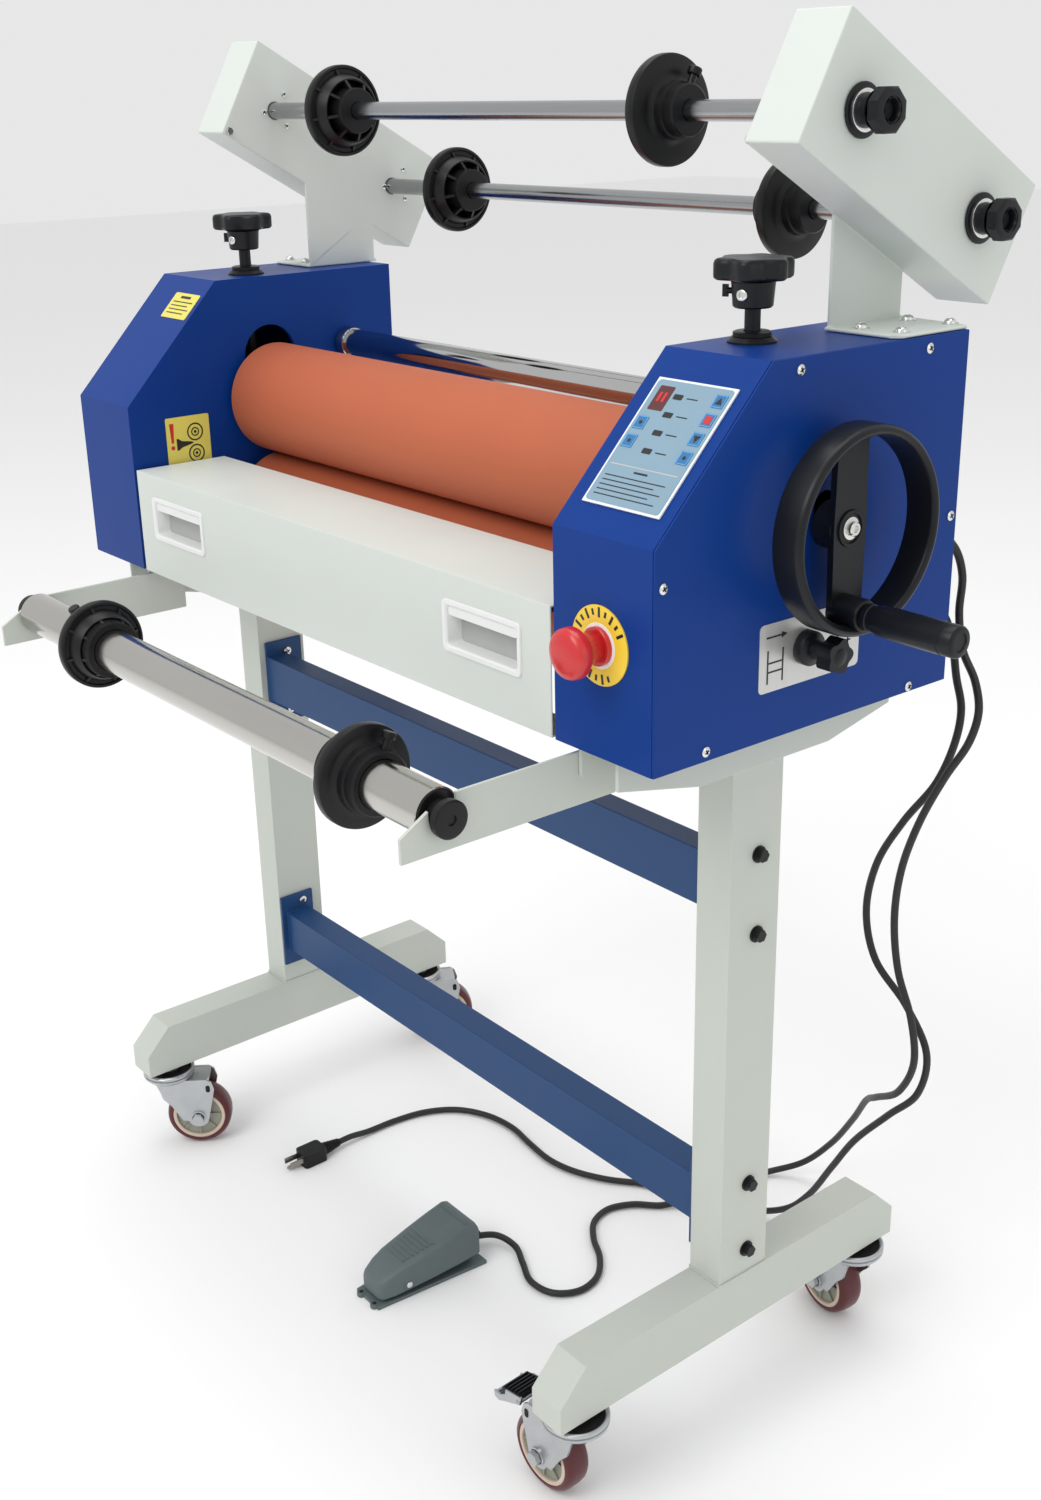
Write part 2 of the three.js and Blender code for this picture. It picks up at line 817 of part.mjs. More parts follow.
function topBracket() {
  const outside = alongX(bracketOutline(BRACKET_LENGTH, BRACKET_HEIGHT), BRACKET_INNER, BRACKET_OUTER);
  const hollow = bracketOutline(BRACKET_LENGTH - 2 * SHEET, BRACKET_HEIGHT - 2 * SHEET);
  const inside = alongX(hollow, BRACKET_INNER + 3, BRACKET_OUTER - SHEET);
  const foot = HOUSING_TOP + GAP;
  const post = alongX(
    [
      [-3, foot],
      [81, foot],
      [81, 1040],
      [-3, 1086],
    ],
    BRACKET_INNER,
    BRACKET_INNER + 3,
  );
  const flange = alongZ(
    [
      [BRACKET_INNER, -6],
      [430, -6],
      [438, 2],
      [438, 76],
      [BRACKET_INNER, 84],
    ],
    foot,
    foot + 3,
  );
  const bores = [UNWIND_FRONT, UNWIND_BACK].map(({ y, z }) => holeX(y, z, UNWIND_RADIUS + 0.4));
  return cut(join(cut(outside, inside), post, flange), ...bores);
}

function unwindShaft({ y, z }) {
  return turnedX(rod(-382, UNWIND_END, UNWIND_RADIUS), FACETS_SHAFT, y, z);
}

// A core chuck: rimmed disc, stepped cone towards the roll and a hub behind, drawn with the cone along +X.
function chuckProfile(bore, hub) {
  return [
    [-20, bore],
    [-20, hub],
    [-2, hub],
    [0, CHUCK_RADIUS],
    [9, CHUCK_RADIUS],
    [9, 33],
    [22, 28],
    [32, hub + 2],
    [32, bore],
    [-20, bore],
  ];
}

function chuck(axis, x, facing, bore, hub) {
  const geometry = turnedX(chuckProfile(bore, hub), FACETS_WHEEL, 0, 0);
  const turnedRound = facing < 0 ? flipX(geometry) : geometry;
  return turnedRound.translate(x, axis.y, axis.z);
}

function tensionKnob({ y, z }) {
  const octagon = arc(y, z, 17, 22.5, 337.5, 7);
  const stem = turnedX(
    [
      [BRACKET_OUTER + GAP, 0],
      [BRACKET_OUTER + GAP, 19],
      [BRACKET_OUTER + 3, 19],
      [BRACKET_OUTER + 3, 12],
      [BRACKET_OUTER + 16, 12],
      [BRACKET_OUTER + 16, 0],
    ],
    FACETS_SHAFT,
    y,
    z,
  );
  const bore = turnedX(
    rod(BRACKET_OUTER - 5, UNWIND_END + GAP, UNWIND_RADIUS + GAP),
    FACETS_SHAFT,
    y,
    z,
  );
  return cut(join(stem, alongX(octagon, BRACKET_OUTER + 14, BRACKET_OUTER + 28)), bore);
}

placeBoth("unwind_bracket", topBracket(), "whitePaint");
place("unwind_shaft_front", unwindShaft(UNWIND_FRONT), "steel");
place("unwind_shaft_back", unwindShaft(UNWIND_BACK), "steel");
const unwindBore = UNWIND_RADIUS + GAP;
place("chuck_front_left", chuck(UNWIND_FRONT, -244, 1, unwindBore, 20), "blackPlastic");
place("chuck_front_right", chuck(UNWIND_FRONT, 226, -1, unwindBore, 20), "blackPlastic");
place("chuck_back_left", chuck(UNWIND_BACK, -252, 1, unwindBore, 20), "blackPlastic");
place("chuck_back_right", chuck(UNWIND_BACK, 230, -1, unwindBore, 20), "blackPlastic");
place("tension_knob_front", tensionKnob(UNWIND_FRONT), "blackPlastic");
place("tension_knob_back", tensionKnob(UNWIND_BACK), "blackPlastic");

// ---- take-up roll in front --------------------------------------------------------------------------------
function rollTube() {
  const half = 338;
  const plugBack = half - 15;
  const { radius, y, z } = FEED_ROLL;
  return turnedX(
    [
      [-356, 2],
      [-356, 15],
      [-348, 15],
      [-348, 12],
      [-half, 12],
      [-half, radius],
      [half, radius],
      [half, 12],
      [348, 12],
      [348, 15],
      [356, 15],
      [356, 2],
      [plugBack, 2],
      [plugBack, radius - 2],
      [-plugBack, radius - 2],
      [-plugBack, 2],
      [-356, 2],
    ],
    FACETS_SHAFT,
    y,
    z,
  );
}

place("roll_tube", rollTube(), "chrome");
const tubeBore = FEED_ROLL.radius + GAP;
place("roll_chuck_left", chuck(FEED_ROLL, -204, 1, tubeBore, 26), "blackPlastic");
place("roll_chuck_right", chuck(FEED_ROLL, 247, -1, tubeBore, 26), "blackPlastic");

// ---- foot pedal: narrow toe towards -Y, cord leaving the wide heel ----------------------------
const PEDAL_X = 27;
const PEDAL_TOE_Y = -254;
const PEDAL_PIVOT_Y = -222;
const PEDAL_HEEL_Y = -134;

function wedgeOutline(toeHalf, heelHalf, toe, heel) {
  return [
    [PEDAL_X - toeHalf, toe],
    [PEDAL_X + toeHalf, toe],
    [PEDAL_X + heelHalf, heel],
    [PEDAL_X - heelHalf, heel],
  ];
}

function pedalBase() {
  const plate = alongZ(wedgeOutline(20, 32, PEDAL_TOE_Y - 5, PEDAL_HEEL_Y + 6), 0, 4);
  const core = alongZ(wedgeOutline(11, 20, PEDAL_TOE_Y + 22, PEDAL_HEEL_Y - 6), 3, 14);
  const socket = box(PEDAL_X - 9, PEDAL_X + 9, PEDAL_HEEL_Y - 9, PEDAL_HEEL_Y + 1, 3, 24);
  const pin = turnedX(rod(PEDAL_X - 13.5, PEDAL_X + 13.5, 3), FACETS_SMALL, PEDAL_PIVOT_Y, 16);
  const lugs = box(PEDAL_X - 6, PEDAL_X + 6, PEDAL_PIVOT_Y - 5, PEDAL_PIVOT_Y + 5, 3, 17);
  return join(plate, core, socket, pin, lugs);
}

function pedalTreadle() {
  const top = [
    [PEDAL_TOE_Y, 7],
    [PEDAL_HEEL_Y, 16],
    [PEDAL_HEEL_Y, 50],
    [PEDAL_HEEL_Y - 8, 54],
    [PEDAL_TOE_Y + 30, 38],
    [PEDAL_TOE_Y, 27],
  ];
  const slab = toSolid(alongX(top, PEDAL_X - 40, PEDAL_X + 40));
  const plan = toSolid(alongZ(wedgeOutline(18, 30, PEDAL_TOE_Y, PEDAL_HEEL_Y), 0, 60));
  const under = [
    [PEDAL_TOE_Y + 3, 0],
    [PEDAL_HEEL_Y - 2, 0],
    [PEDAL_HEEL_Y - 2, 46],
    [PEDAL_TOE_Y + 30, 33],
    [PEDAL_TOE_Y + 3, 23],
  ];
  const hollowSlab = toSolid(alongX(under, PEDAL_X - 40, PEDAL_X + 40));
  const hollowPlan = toSolid(alongZ(wedgeOutline(15.5, 27.5, PEDAL_TOE_Y + 3, PEDAL_HEEL_Y - 2), -1, 60));
  const cordGate = toSolid(box(PEDAL_X - 10, PEDAL_X + 10, PEDAL_HEEL_Y - 12, PEDAL_HEEL_Y + 8, 0, 36));
  const shell = slab.intersect(plan).subtract(hollowSlab.intersect(hollowPlan)).subtract(cordGate);
  return toGeometry(shell);
}

place("pedal_base", pedalBase(), "pedalPaint");
place("pedal_treadle", pedalTreadle(), "pedalPaint");

// ---- cords ------------------------------------------------------------------------------------------------
const GLAND_LENGTH = 34;

// A tapered strain relief whose stub passes through the housing's back wall.
function glandGeometry({ x, z }) {
  const start = HOUSING_BACK + GAP;
  return turnedY(
    [
      [HOUSING_BACK - 6, 0],
      [HOUSING_BACK - 6, 6],
      [start, 6],
      [start, 11],
      [start + 7, 11],
      [start + 8, 7.5],
      [start + GLAND_LENGTH, 4.8],
      [start + GLAND_LENGTH, 0],
    ],
    FACETS_SMALL,
    x,
    z,
  );
}

const CORD_EXIT_Y = HOUSING_BACK + GAP + GLAND_LENGTH + GAP;
const LIE = CORD_RADIUS + 0.3; // height of a cord's middle when it lies on the floor
const OVER = LIE + 11; // height where it lies across the other cord

const MAINS_ROUTE = [
  [MAINS_GLAND.x, CORD_EXIT_Y, MAINS_GLAND.z],
  [MAINS_GLAND.x, CORD_EXIT_Y + 8, MAINS_GLAND.z - 0.5],
  [384, 134, 743],
  [385, 148, 727],
  [389, 153, 705],
  [397, 150, 680],
  [409, 144, 656],
  [412, 136, 630],
  [400, 130, 588],
  [370, 125, 541],
  [346, 121, 492],
  [339, 119, 440],
  [353, 119, 396],
  [388, 124, 360],
  [412, 128, 318],
  [404, 130, 270],
  [370, 132, 228],
  [326, 138, 174],
  [290, 148, 118],
  [252, 158, 58],
  [222, 158, 24],
  [186, 148, 6],
  [150, 132, LIE],
  [108, 112, LIE],
  [68, 90, LIE],
  [34, 64, LIE],
  [-2, 46, LIE],
  [-36, 39, LIE],
  [-76, 42, LIE],
  [-117, 47, LIE],
  [-157, 40, LIE],
  [-190, 20, LIE],
  [-211, -12, LIE],
  [-220, -52, LIE],
  [-221, -90, 5],
  [-221, -114, 8.5],
  [-221, -130.7, 8.5],
];

const PEDAL_ROUTE = [
  [PEDAL_GLAND.x, CORD_EXIT_Y, PEDAL_GLAND.z],
  [PEDAL_GLAND.x, CORD_EXIT_Y + 8, PEDAL_GLAND.z - 0.5],
  [385, 134, 806],
  [388, 149, 791],
  [391, 156, 768],
  [392, 154, 736],
  [406, 144, 708],
  [430, 132, 688],
  [443, 122, 667],
  [442, 114, 642],
  [424, 108, 605],
  [402, 106, 556],
  [386, 106, 504],
  [382, 106, 454],
  [390, 106, 404],
  [408, 106, 362],
  [412, 110, 316],
  [388, 122, 268],
  [340, 150, 226],
  [296, 190, 184],
  [254, 222, 126],
  [210, 240, 64],
  [174, 236, 22],
  [146, 212, 6],
  [132, 180, LIE],
  [131, 152, LIE + 5],
  [130, 126, OVER],
  [124, 100, LIE + 5],
  [110, 78, LIE],
  [88, 55, LIE],
  [77, 28, LIE],
  [84, 2, LIE],
  [106, -18, LIE],
  [134, -34, LIE],
  [156, -58, LIE],
  [160, -86, LIE],
  [144, -109, LIE],
  [116, -114, LIE],
  [88, -102, LIE],
  [62, -92, 6],
  [39, -99, 10],
  [PEDAL_X + 1, -120, 12],
  [PEDAL_X, PEDAL_HEEL_Y + 1 + GAP, 12],
];

function cordGeometry(route, steps) {
  const path = new THREE.CatmullRomCurve3(
    route.map(([x, y, z]) => new THREE.Vector3(x, y, z)),
    false,
    "centripetal",
  );
  path.arcLengthDivisions = 600;
  const section = outline(arc(0, 0, CORD_RADIUS, 0, 315, 7));
  return new THREE.ExtrudeGeometry(section, { steps, extrudePath: path, curveSegments: 1 });
}

function plugGeometry() {
  const relief = turnedY(
    [
      [-155, 0],
      [-155, 6.5],
      [-131, 4.8],
      [-131, 0],
    ],
    FACETS_SMALL,
    0,
    8.5,
  );
  const body = alongZ(
    [
      [-11, -154],
      [-12, -170],
      [-12, -184],
      [12, -184],
      [12, -170],
      [11, -154],
    ],
    0,
    17,
  );
  const blades = [-6.35, 6.35].map((x) => box(x - 0.8, x + 0.8, -201, -183, 7, 13));
  const pin = turnedY(rod(-203, -183, 2.4), FACETS_SMALL, 0, 3.6);
  return join(body, relief, ...blades, pin).translate(-221, 0, 0);
}

place("gland_mains", glandGeometry(MAINS_GLAND), "blackPlastic");
place("gland_pedal", glandGeometry(PEDAL_GLAND), "blackPlastic");
place("cord_mains", cordGeometry(MAINS_ROUTE, 48), "cordRubber");
place("cord_pedal", cordGeometry(PEDAL_ROUTE, 52), "cordRubber");
place("plug", plugGeometry(), "blackPlastic");

machine.position.set(-CENTRE_X, -CENTRE_Y, 0);
const laminator = new THREE.Group();
laminator.add(machine);

export default laminator;
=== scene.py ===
"""Looks of the cold roll laminator: camera, cords, materials and the detailed pieces over the CAD frame."""
import json
import math

import bmesh
import bpy
from mathutils import Matrix, Vector


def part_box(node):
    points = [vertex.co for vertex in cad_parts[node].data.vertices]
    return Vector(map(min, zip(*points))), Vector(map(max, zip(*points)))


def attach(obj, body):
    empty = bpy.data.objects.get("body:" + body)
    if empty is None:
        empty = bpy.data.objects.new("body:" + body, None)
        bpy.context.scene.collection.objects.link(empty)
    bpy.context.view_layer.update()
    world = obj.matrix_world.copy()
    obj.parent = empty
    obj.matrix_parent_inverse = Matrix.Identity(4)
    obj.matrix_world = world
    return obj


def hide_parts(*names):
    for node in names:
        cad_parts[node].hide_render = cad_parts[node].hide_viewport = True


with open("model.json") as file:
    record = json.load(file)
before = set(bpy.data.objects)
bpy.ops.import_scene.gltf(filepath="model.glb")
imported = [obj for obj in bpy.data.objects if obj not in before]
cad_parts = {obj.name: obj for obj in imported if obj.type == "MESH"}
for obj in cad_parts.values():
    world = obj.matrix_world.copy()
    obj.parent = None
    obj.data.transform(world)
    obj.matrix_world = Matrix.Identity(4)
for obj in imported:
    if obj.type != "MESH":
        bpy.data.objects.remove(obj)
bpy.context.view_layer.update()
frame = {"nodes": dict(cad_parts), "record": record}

MM = 0.001
ROOT = "machine"
X_AXIS = Vector((1, 0, 0))
Y_AXIS = Vector((0, 1, 0))
Z_AXIS = Vector((0, 0, 1))


# ---- places taken from the frame ----
def low(node):
    return Vector(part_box(node)[0])


def high(node):
    return Vector(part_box(node)[1])


def middle(node):
    return (low(node) + high(node)) / 2


def extent(node):
    return high(node) - low(node)


COVER_LOW = low("side_cover_right")
COVER_HIGH = high("side_cover_right")
CENTRE_PLANE = (low("feed_table").x + high("feed_table").x) / 2
UPPER_AXIS = middle("upper_roller_rubber")
# The sign of each side's X: the handwheel is on the right.
SIDES = {"right": 1, "left": -1}


def ends(node):
    """Both ends of a piece along X, in millimetres from the machine's centre plane."""
    return [(corner.x - CENTRE_PLANE) * 1000 for corner in (low(node), high(node))]


# ---- camera, light and floor ----
CAMERA_PLACE = Vector((1.1954, -0.9093, 1.1708))
CAMERA_AZIMUTH = math.radians(51.54)
CAMERA_PITCH = math.radians(21.38)
CAMERA_ROLL = math.radians(-1.28)
CAMERA_LENS = 41.09


def make_camera():
    forward = Vector((
        -math.sin(CAMERA_AZIMUTH) * math.cos(CAMERA_PITCH),
        math.cos(CAMERA_AZIMUTH) * math.cos(CAMERA_PITCH),
        -math.sin(CAMERA_PITCH),
    ))
    level = Vector((math.cos(CAMERA_AZIMUTH), math.sin(CAMERA_AZIMUTH), 0))
    upright = level.cross(forward)
    right = math.cos(CAMERA_ROLL) * level + math.sin(CAMERA_ROLL) * upright
    up = right.cross(forward)
    data = bpy.data.cameras.new("camera")
    data.lens = CAMERA_LENS
    data.sensor_width = 36
    data.clip_end = 60
    camera = bpy.data.objects.new("camera", data)
    bpy.context.collection.objects.link(camera)
    turn = Matrix((right, up, -forward)).transposed()
    camera.matrix_world = Matrix.Translation(CAMERA_PLACE) @ turn.to_4x4()
    bpy.context.scene.camera = camera


def make_lamp(name, place, target, width, power):
    data = bpy.data.lights.new(name, "AREA")
    data.size = width
    data.energy = power
    lamp = bpy.data.objects.new(name, data)
    bpy.context.collection.objects.link(lamp)
    lamp.location = place
    lamp.rotation_euler = (Vector(target) - Vector(place)).to_track_quat("-Z", "Y").to_euler()


def make_stage():
    bpy.ops.mesh.primitive_plane_add(size=30, location=(0, 0, -0.0005))
    floor = bpy.context.object
    floor.name = "studio_floor"
    paper = bpy.data.materials.new("studio_paper")
    paper.use_nodes = True
    shader = paper.node_tree.nodes["Principled BSDF"]
    shader.inputs["Base Color"].default_value = (0.93, 0.93, 0.93, 1)
    shader.inputs["Roughness"].default_value = 0.9
    floor.data.materials.append(paper)
    world = bpy.data.worlds.new("studio_world")
    bpy.context.scene.world = world
    world.use_nodes = True
    world.node_tree.nodes["Background"].inputs["Color"].default_value = (1, 1, 1, 1)
    world.node_tree.nodes["Background"].inputs["Strength"].default_value = 0.80
    bpy.context.scene.view_settings.view_transform = "Standard"
    make_lamp("key_lamp", (0.3, -2.7, 3.3), (0, 0, 0.8), 2.0, 50)
    make_lamp("side_lamp", (3.4, 0.4, 1.6), (0, 0, 0.7), 1.6, 5)
    make_lamp("top_lamp", (-0.3, 0.3, 4.4), (0, 0, 0.8), 2.6, 52)


# ---- materials ----
def surface(name, colour, roughness, metallic=0.0, mottle=0.06, mottle_scale=14.0, grain=0.02,
            grain_scale=900.0, coat=0.0, stretch=(1, 1, 1), specular=0.5, rough_spread=0.06):
    """A procedural finish: soft mottling of the colour, uneven roughness and a fine grain in the normal."""
    material = bpy.data.materials.new(name)
    material.use_nodes = True
    tree = material.node_tree
    shader = tree.nodes["Principled BSDF"]
    shader.inputs["Metallic"].default_value = metallic
    shader.inputs["Coat Weight"].default_value = coat
    shader.inputs["Coat Roughness"].default_value = 0.15
    shader.inputs["Specular IOR Level"].default_value = specular
    place = tree.nodes.new("ShaderNodeTexCoord")
    mapping = tree.nodes.new("ShaderNodeMapping")
    mapping.inputs["Scale"].default_value = stretch
    tree.links.new(place.outputs["Object"], mapping.inputs["Vector"])

    clouds = tree.nodes.new("ShaderNodeTexNoise")
    clouds.inputs["Scale"].default_value = mottle_scale
    clouds.inputs["Detail"].default_value = 4
    tree.links.new(mapping.outputs["Vector"], clouds.inputs["Vector"])
    tint = tree.nodes.new("ShaderNodeMix")
    tint.data_type = "RGBA"
    tint.inputs["A"].default_value = (*[c * (1 - mottle) for c in colour], 1)
    tint.inputs["B"].default_value = (*[min(1, c * (1 + mottle)) for c in colour], 1)
    tree.links.new(clouds.outputs["Fac"], tint.inputs["Factor"])
    tree.links.new(tint.outputs["Result"], shader.inputs["Base Color"])

    spread = tree.nodes.new("ShaderNodeMapRange")
    spread.inputs["To Min"].default_value = max(0.02, roughness - rough_spread)
    spread.inputs["To Max"].default_value = min(1.0, roughness + rough_spread)
    tree.links.new(clouds.outputs["Fac"], spread.inputs["Value"])
    tree.links.new(spread.outputs["Result"], shader.inputs["Roughness"])

    fine = tree.nodes.new("ShaderNodeTexNoise")
    fine.inputs["Scale"].default_value = grain_scale
    fine.inputs["Detail"].default_value = 3
    tree.links.new(mapping.outputs["Vector"], fine.inputs["Vector"])
    bump = tree.nodes.new("ShaderNodeBump")
    bump.inputs["Strength"].default_value = 0.5
    bump.inputs["Distance"].default_value = grain * MM
    tree.links.new(fine.outputs["Fac"], bump.inputs["Height"])
    tree.links.new(bump.outputs["Normal"], shader.inputs["Normal"])
    return material


BLUE = surface("blue_powder_coat", (0.001, 0.036, 0.225), 0.40, mottle=0.05, grain=0.05, grain_scale=700,
               specular=0.16)
BEAM = surface("beam_powder_coat", (0.011, 0.054, 0.165), 0.45, mottle=0.06, grain=0.05, grain_scale=700,
               specular=0.3)
STAND = surface("stand_powder_coat", (0.53, 0.565, 0.515), 0.5, mottle=0.03, grain=0.05, grain_scale=700)
WHITE = surface("white_powder_coat", (0.62, 0.66, 0.62), 0.45, mottle=0.02, grain=0.05, grain_scale=700)
SALMON = surface("salmon_silicone", (0.47, 0.118, 0.052), 0.62, mottle=0.07, mottle_scale=9, grain=0.03,
                 grain_scale=500, specular=0.35)
TURNED = surface("turned_steel", (0.36, 0.37, 0.38), 0.2, metallic=1, stretch=(1, 30, 30), mottle=0.08,
                 mottle_scale=30, grain=0.01, grain_scale=300)
CHROME = surface("hard_chrome", (0.52, 0.52, 0.52), 0.09, metallic=1, mottle=0.03, grain=0.002,
                 rough_spread=0.03)
TUBE = surface("roll_tube_chrome", (0.5, 0.49, 0.46), 0.16, metallic=1, mottle=0.05, grain=0.004,
               stretch=(0.4, 4, 4), rough_spread=0.06)
ZINC = surface("zinc_plate", (0.5, 0.52, 0.53), 0.3, metallic=0.95, mottle=0.14, mottle_scale=60, grain=0.02)
SCREW = surface("nickel_screw", (0.74, 0.74, 0.72), 0.22, metallic=1, mottle=0.08, mottle_scale=150)
TYRE = surface("red_polyurethane", (0.085, 0.006, 0.01), 0.33, mottle=0.12, mottle_scale=40, grain=0.01)
TYRE_BAND = surface("tyre_side_band", (0.62, 0.50, 0.40), 0.5, mottle=0.06, mottle_scale=50)
HUB = surface("wheel_hub_nylon", (0.30, 0.30, 0.24), 0.45, mottle=0.08, mottle_scale=60)
BLACK = surface("black_moulding", (0.006, 0.006, 0.007), 0.36, mottle=0.25, mottle_scale=60, grain=0.06,
                grain_scale=1500, specular=0.28)
SATIN = surface("satin_black_casting", (0.006, 0.007, 0.009), 0.34, mottle=0.2, mottle_scale=30, grain=0.05,
                grain_scale=1200, specular=0.28)
# Near-black used as painted shade: it fills screw recesses, holes, slots, gaps and vent openings where only
# shade shows.
PAINTED_SHADE_BLACK = surface("recess_painted_shade", (0.004, 0.004, 0.004), 0.8, mottle=0.2)
RED = surface("stop_red", (0.56, 0.018, 0.02), 0.3, mottle=0.06, mottle_scale=60, grain=0.02, coat=0.2)
YELLOW = surface("label_yellow", (0.86, 0.6, 0.045), 0.42, mottle=0.04, mottle_scale=60, grain=0.01)
PALE_YELLOW = surface("notice_yellow", (0.72, 0.64, 0.12), 0.42, mottle=0.04, mottle_scale=60, grain=0.01)
INK = surface("label_ink", (0.012, 0.012, 0.014), 0.45, mottle=0.2, mottle_scale=200)
RED_INK = surface("label_red_ink", (0.55, 0.02, 0.02), 0.45, mottle=0.1, mottle_scale=200)
FOIL = surface("panel_foil", (0.21, 0.33, 0.42), 0.32, mottle=0.04, mottle_scale=40, grain=0.01, coat=0.2)
FOIL_EDGE = surface("panel_border", (0.80, 0.83, 0.84), 0.35, mottle=0.02, mottle_scale=40)
KEY = surface("panel_key", (0.022, 0.15, 0.36), 0.3, mottle=0.06, mottle_scale=100, coat=0.2)
KEY_EDGE = surface("panel_key_edge", (0.10, 0.36, 0.66), 0.3, mottle=0.06, mottle_scale=100)
WINDOW = surface("display_window", (0.085, 0.003, 0.006), 0.15, mottle=0.3, mottle_scale=200, coat=0.5)
PLATE = surface("silver_plate", (0.62, 0.62, 0.61), 0.34, metallic=0.6, mottle=0.08, mottle_scale=20,
                stretch=(1, 12, 1))
PEDAL = surface("pedal_enamel", (0.1, 0.13, 0.132), 0.55, mottle=0.12, mottle_scale=45, grain=0.12,
                grain_scale=500)
CORD = surface("cord_rubber", (0.009, 0.009, 0.010), 0.5, mottle=0.2, mottle_scale=60, grain=0.02)
PULL = surface("pull_plastic", (0.78, 0.79, 0.78), 0.35, mottle=0.02, mottle_scale=40)
# Darker grey for the bottom of the table pulls' cups: painted shade in the recess.
PULL_PAINTED_SHADE = surface("pull_recess_painted_shade", (0.42, 0.43, 0.42), 0.5, mottle=0.04, mottle_scale=40)
BLADES = surface("plug_blades", (0.3, 0.29, 0.26), 0.25, metallic=1, mottle=0.08, mottle_scale=100)


# ---- mesh tools ----
def finish_piece(name, mesh, material, body, smooth_angle):
    piece = bpy.data.objects.new(name, mesh)
    bpy.context.collection.objects.link(piece)
    for item in material if isinstance(material, (list, tuple)) else [material]:
        mesh.materials.append(item)
    mesh.polygons.foreach_set("use_smooth", [True] * len(mesh.polygons))
    mesh.set_sharp_from_angle(angle=math.radians(smooth_angle))
    mesh.update()
    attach(piece, body)
    return piece


def frame_along(direction, origin, spin=0.0):
    """Local +Z along a direction at an origin, turned about it by spin."""
    turn = Vector(direction).normalized().to_track_quat("Z", "Y").to_matrix().to_4x4()
    return Matrix.Translation(origin) @ turn @ Matrix.Rotation(spin, 4, "Z")


class Build:
    """Gathers shapes drawn in local millimetres into one mesh in the row frame."""

    def __init__(self):
        self.mesh = bmesh.new()
        self.slot = 0

    def take(self, faces):
        for face in faces:
            face.material_index = self.slot

    def turned(self, profile, place, segments=48, closed=False):
        """A profile of [distance, radius] in millimetres turned about the place's Z axis."""
        rings = []
        for distance, radius in profile:
            if radius < 1e-6:
                rings.append([self.mesh.verts.new(place @ Vector((0, 0, distance * MM)))])
                continue
            ring = []
            for i in range(segments):
                angle = 2 * math.pi * i / segments
                point = Vector((radius * math.cos(angle), radius * math.sin(angle), distance)) * MM
                ring.append(self.mesh.verts.new(place @ point))
            rings.append(ring)
        pairs = list(zip(rings, rings[1:]))
        if closed:
            pairs.append((rings[-1], rings[0]))
        for lower, upper in pairs:
            self.bridge(lower, upper, segments)
        return self

    def bridge(self, lower, upper, segments):
        faces = []
        for i in range(segments):
            j = (i + 1) % segments
            if len(lower) == 1 and len(upper) == 1:
                return
            if len(lower) == 1:
                corners = [lower[0], upper[j], upper[i]]
            elif len(upper) == 1:
                corners = [lower[i], lower[j], upper[0]]
            else:
                corners = [lower[i], lower[j], upper[j], upper[i]]
            faces.append(self.mesh.faces.new(corners))
        self.take(faces)

    def prism(self, points, depth, place, base=0.0, bevel=0.0, steps=2):
        """An outline in local XY millimetres raised from base by depth along local Z."""
        bottom = [self.mesh.verts.new(place @ (Vector((x, y, base)) * MM)) for x, y in points]
        top = [self.mesh.verts.new(place @ (Vector((x, y, base + depth)) * MM)) for x, y in points]
        faces = [self.mesh.faces.new(list(reversed(bottom))), self.mesh.faces.new(top)]
        count = len(points)
        for i in range(count):
            j = (i + 1) % count
            faces.append(self.mesh.faces.new([bottom[i], bottom[j], top[j], top[i]]))
        self.take(faces)
        if bevel:
            edges = list({edge for face in faces for edge in face.edges})
            sharp = [e for e in edges if e.is_manifold and e.calc_face_angle(0) > 0.6]
            made = bmesh.ops.bevel(self.mesh, geom=sharp, offset=bevel * MM, segments=steps, profile=0.6,
                                   affect="EDGES", clamp_overlap=True)
            self.take(made["faces"])
        return self

    def block(self, size, place, bevel=0.0, steps=2):
        """A box centred on the place, with its edges rounded."""
        x, y, z = size
        corners = [(-x / 2, -y / 2), (x / 2, -y / 2), (x / 2, y / 2), (-x / 2, y / 2)]
        return self.prism(corners, z, place, base=-z / 2, bevel=bevel, steps=steps)

    def done(self, name, material, body, smooth_angle):
        bmesh.ops.recalc_face_normals(self.mesh, faces=self.mesh.faces)
        mesh = bpy.data.meshes.new(name)
        self.mesh.to_mesh(mesh)
        self.mesh.free()
        return finish_piece(name, mesh, material, body, smooth_angle)


def circle(radius, count, start=0.0, x=0.0, y=0.0):
    angles = [start + 2 * math.pi * i / count for i in range(count)]
    return [(x + radius * math.cos(angle), y + radius * math.sin(angle)) for angle in angles]


def rounded(width, height, radius, steps=5, x=0.0, y=0.0):
    points = []
    for cx, cy, start in ((1, 1, 0), (-1, 1, 90), (-1, -1, 180), (1, -1, 270)):
        for i in range(steps + 1):
            angle = math.radians(start + 90 * i / steps)
            points.append((
                x + cx * (width / 2 - radius) + radius * math.cos(angle),
                y + cy * (height / 2 - radius) + radius * math.sin(angle),
            ))
    return points


def dress(node, material, bevel=0.0, steps=3):
    """Gives a CAD node its material, and rounds its sheet-metal edges."""
    piece = frame["nodes"][node]
    piece.data.materials.clear()
    piece.data.materials.append(material)
    if not bevel:
        return
    weld = piece.modifiers.new("weld", "WELD")
    weld.merge_threshold = 1e-5
    rounding = piece.modifiers.new("rounding", "BEVEL")
    rounding.width = bevel * MM
    rounding.segments = steps
    rounding.limit_method = "ANGLE"
    rounding.angle_limit = math.radians(28)
    rounding.harden_normals = False


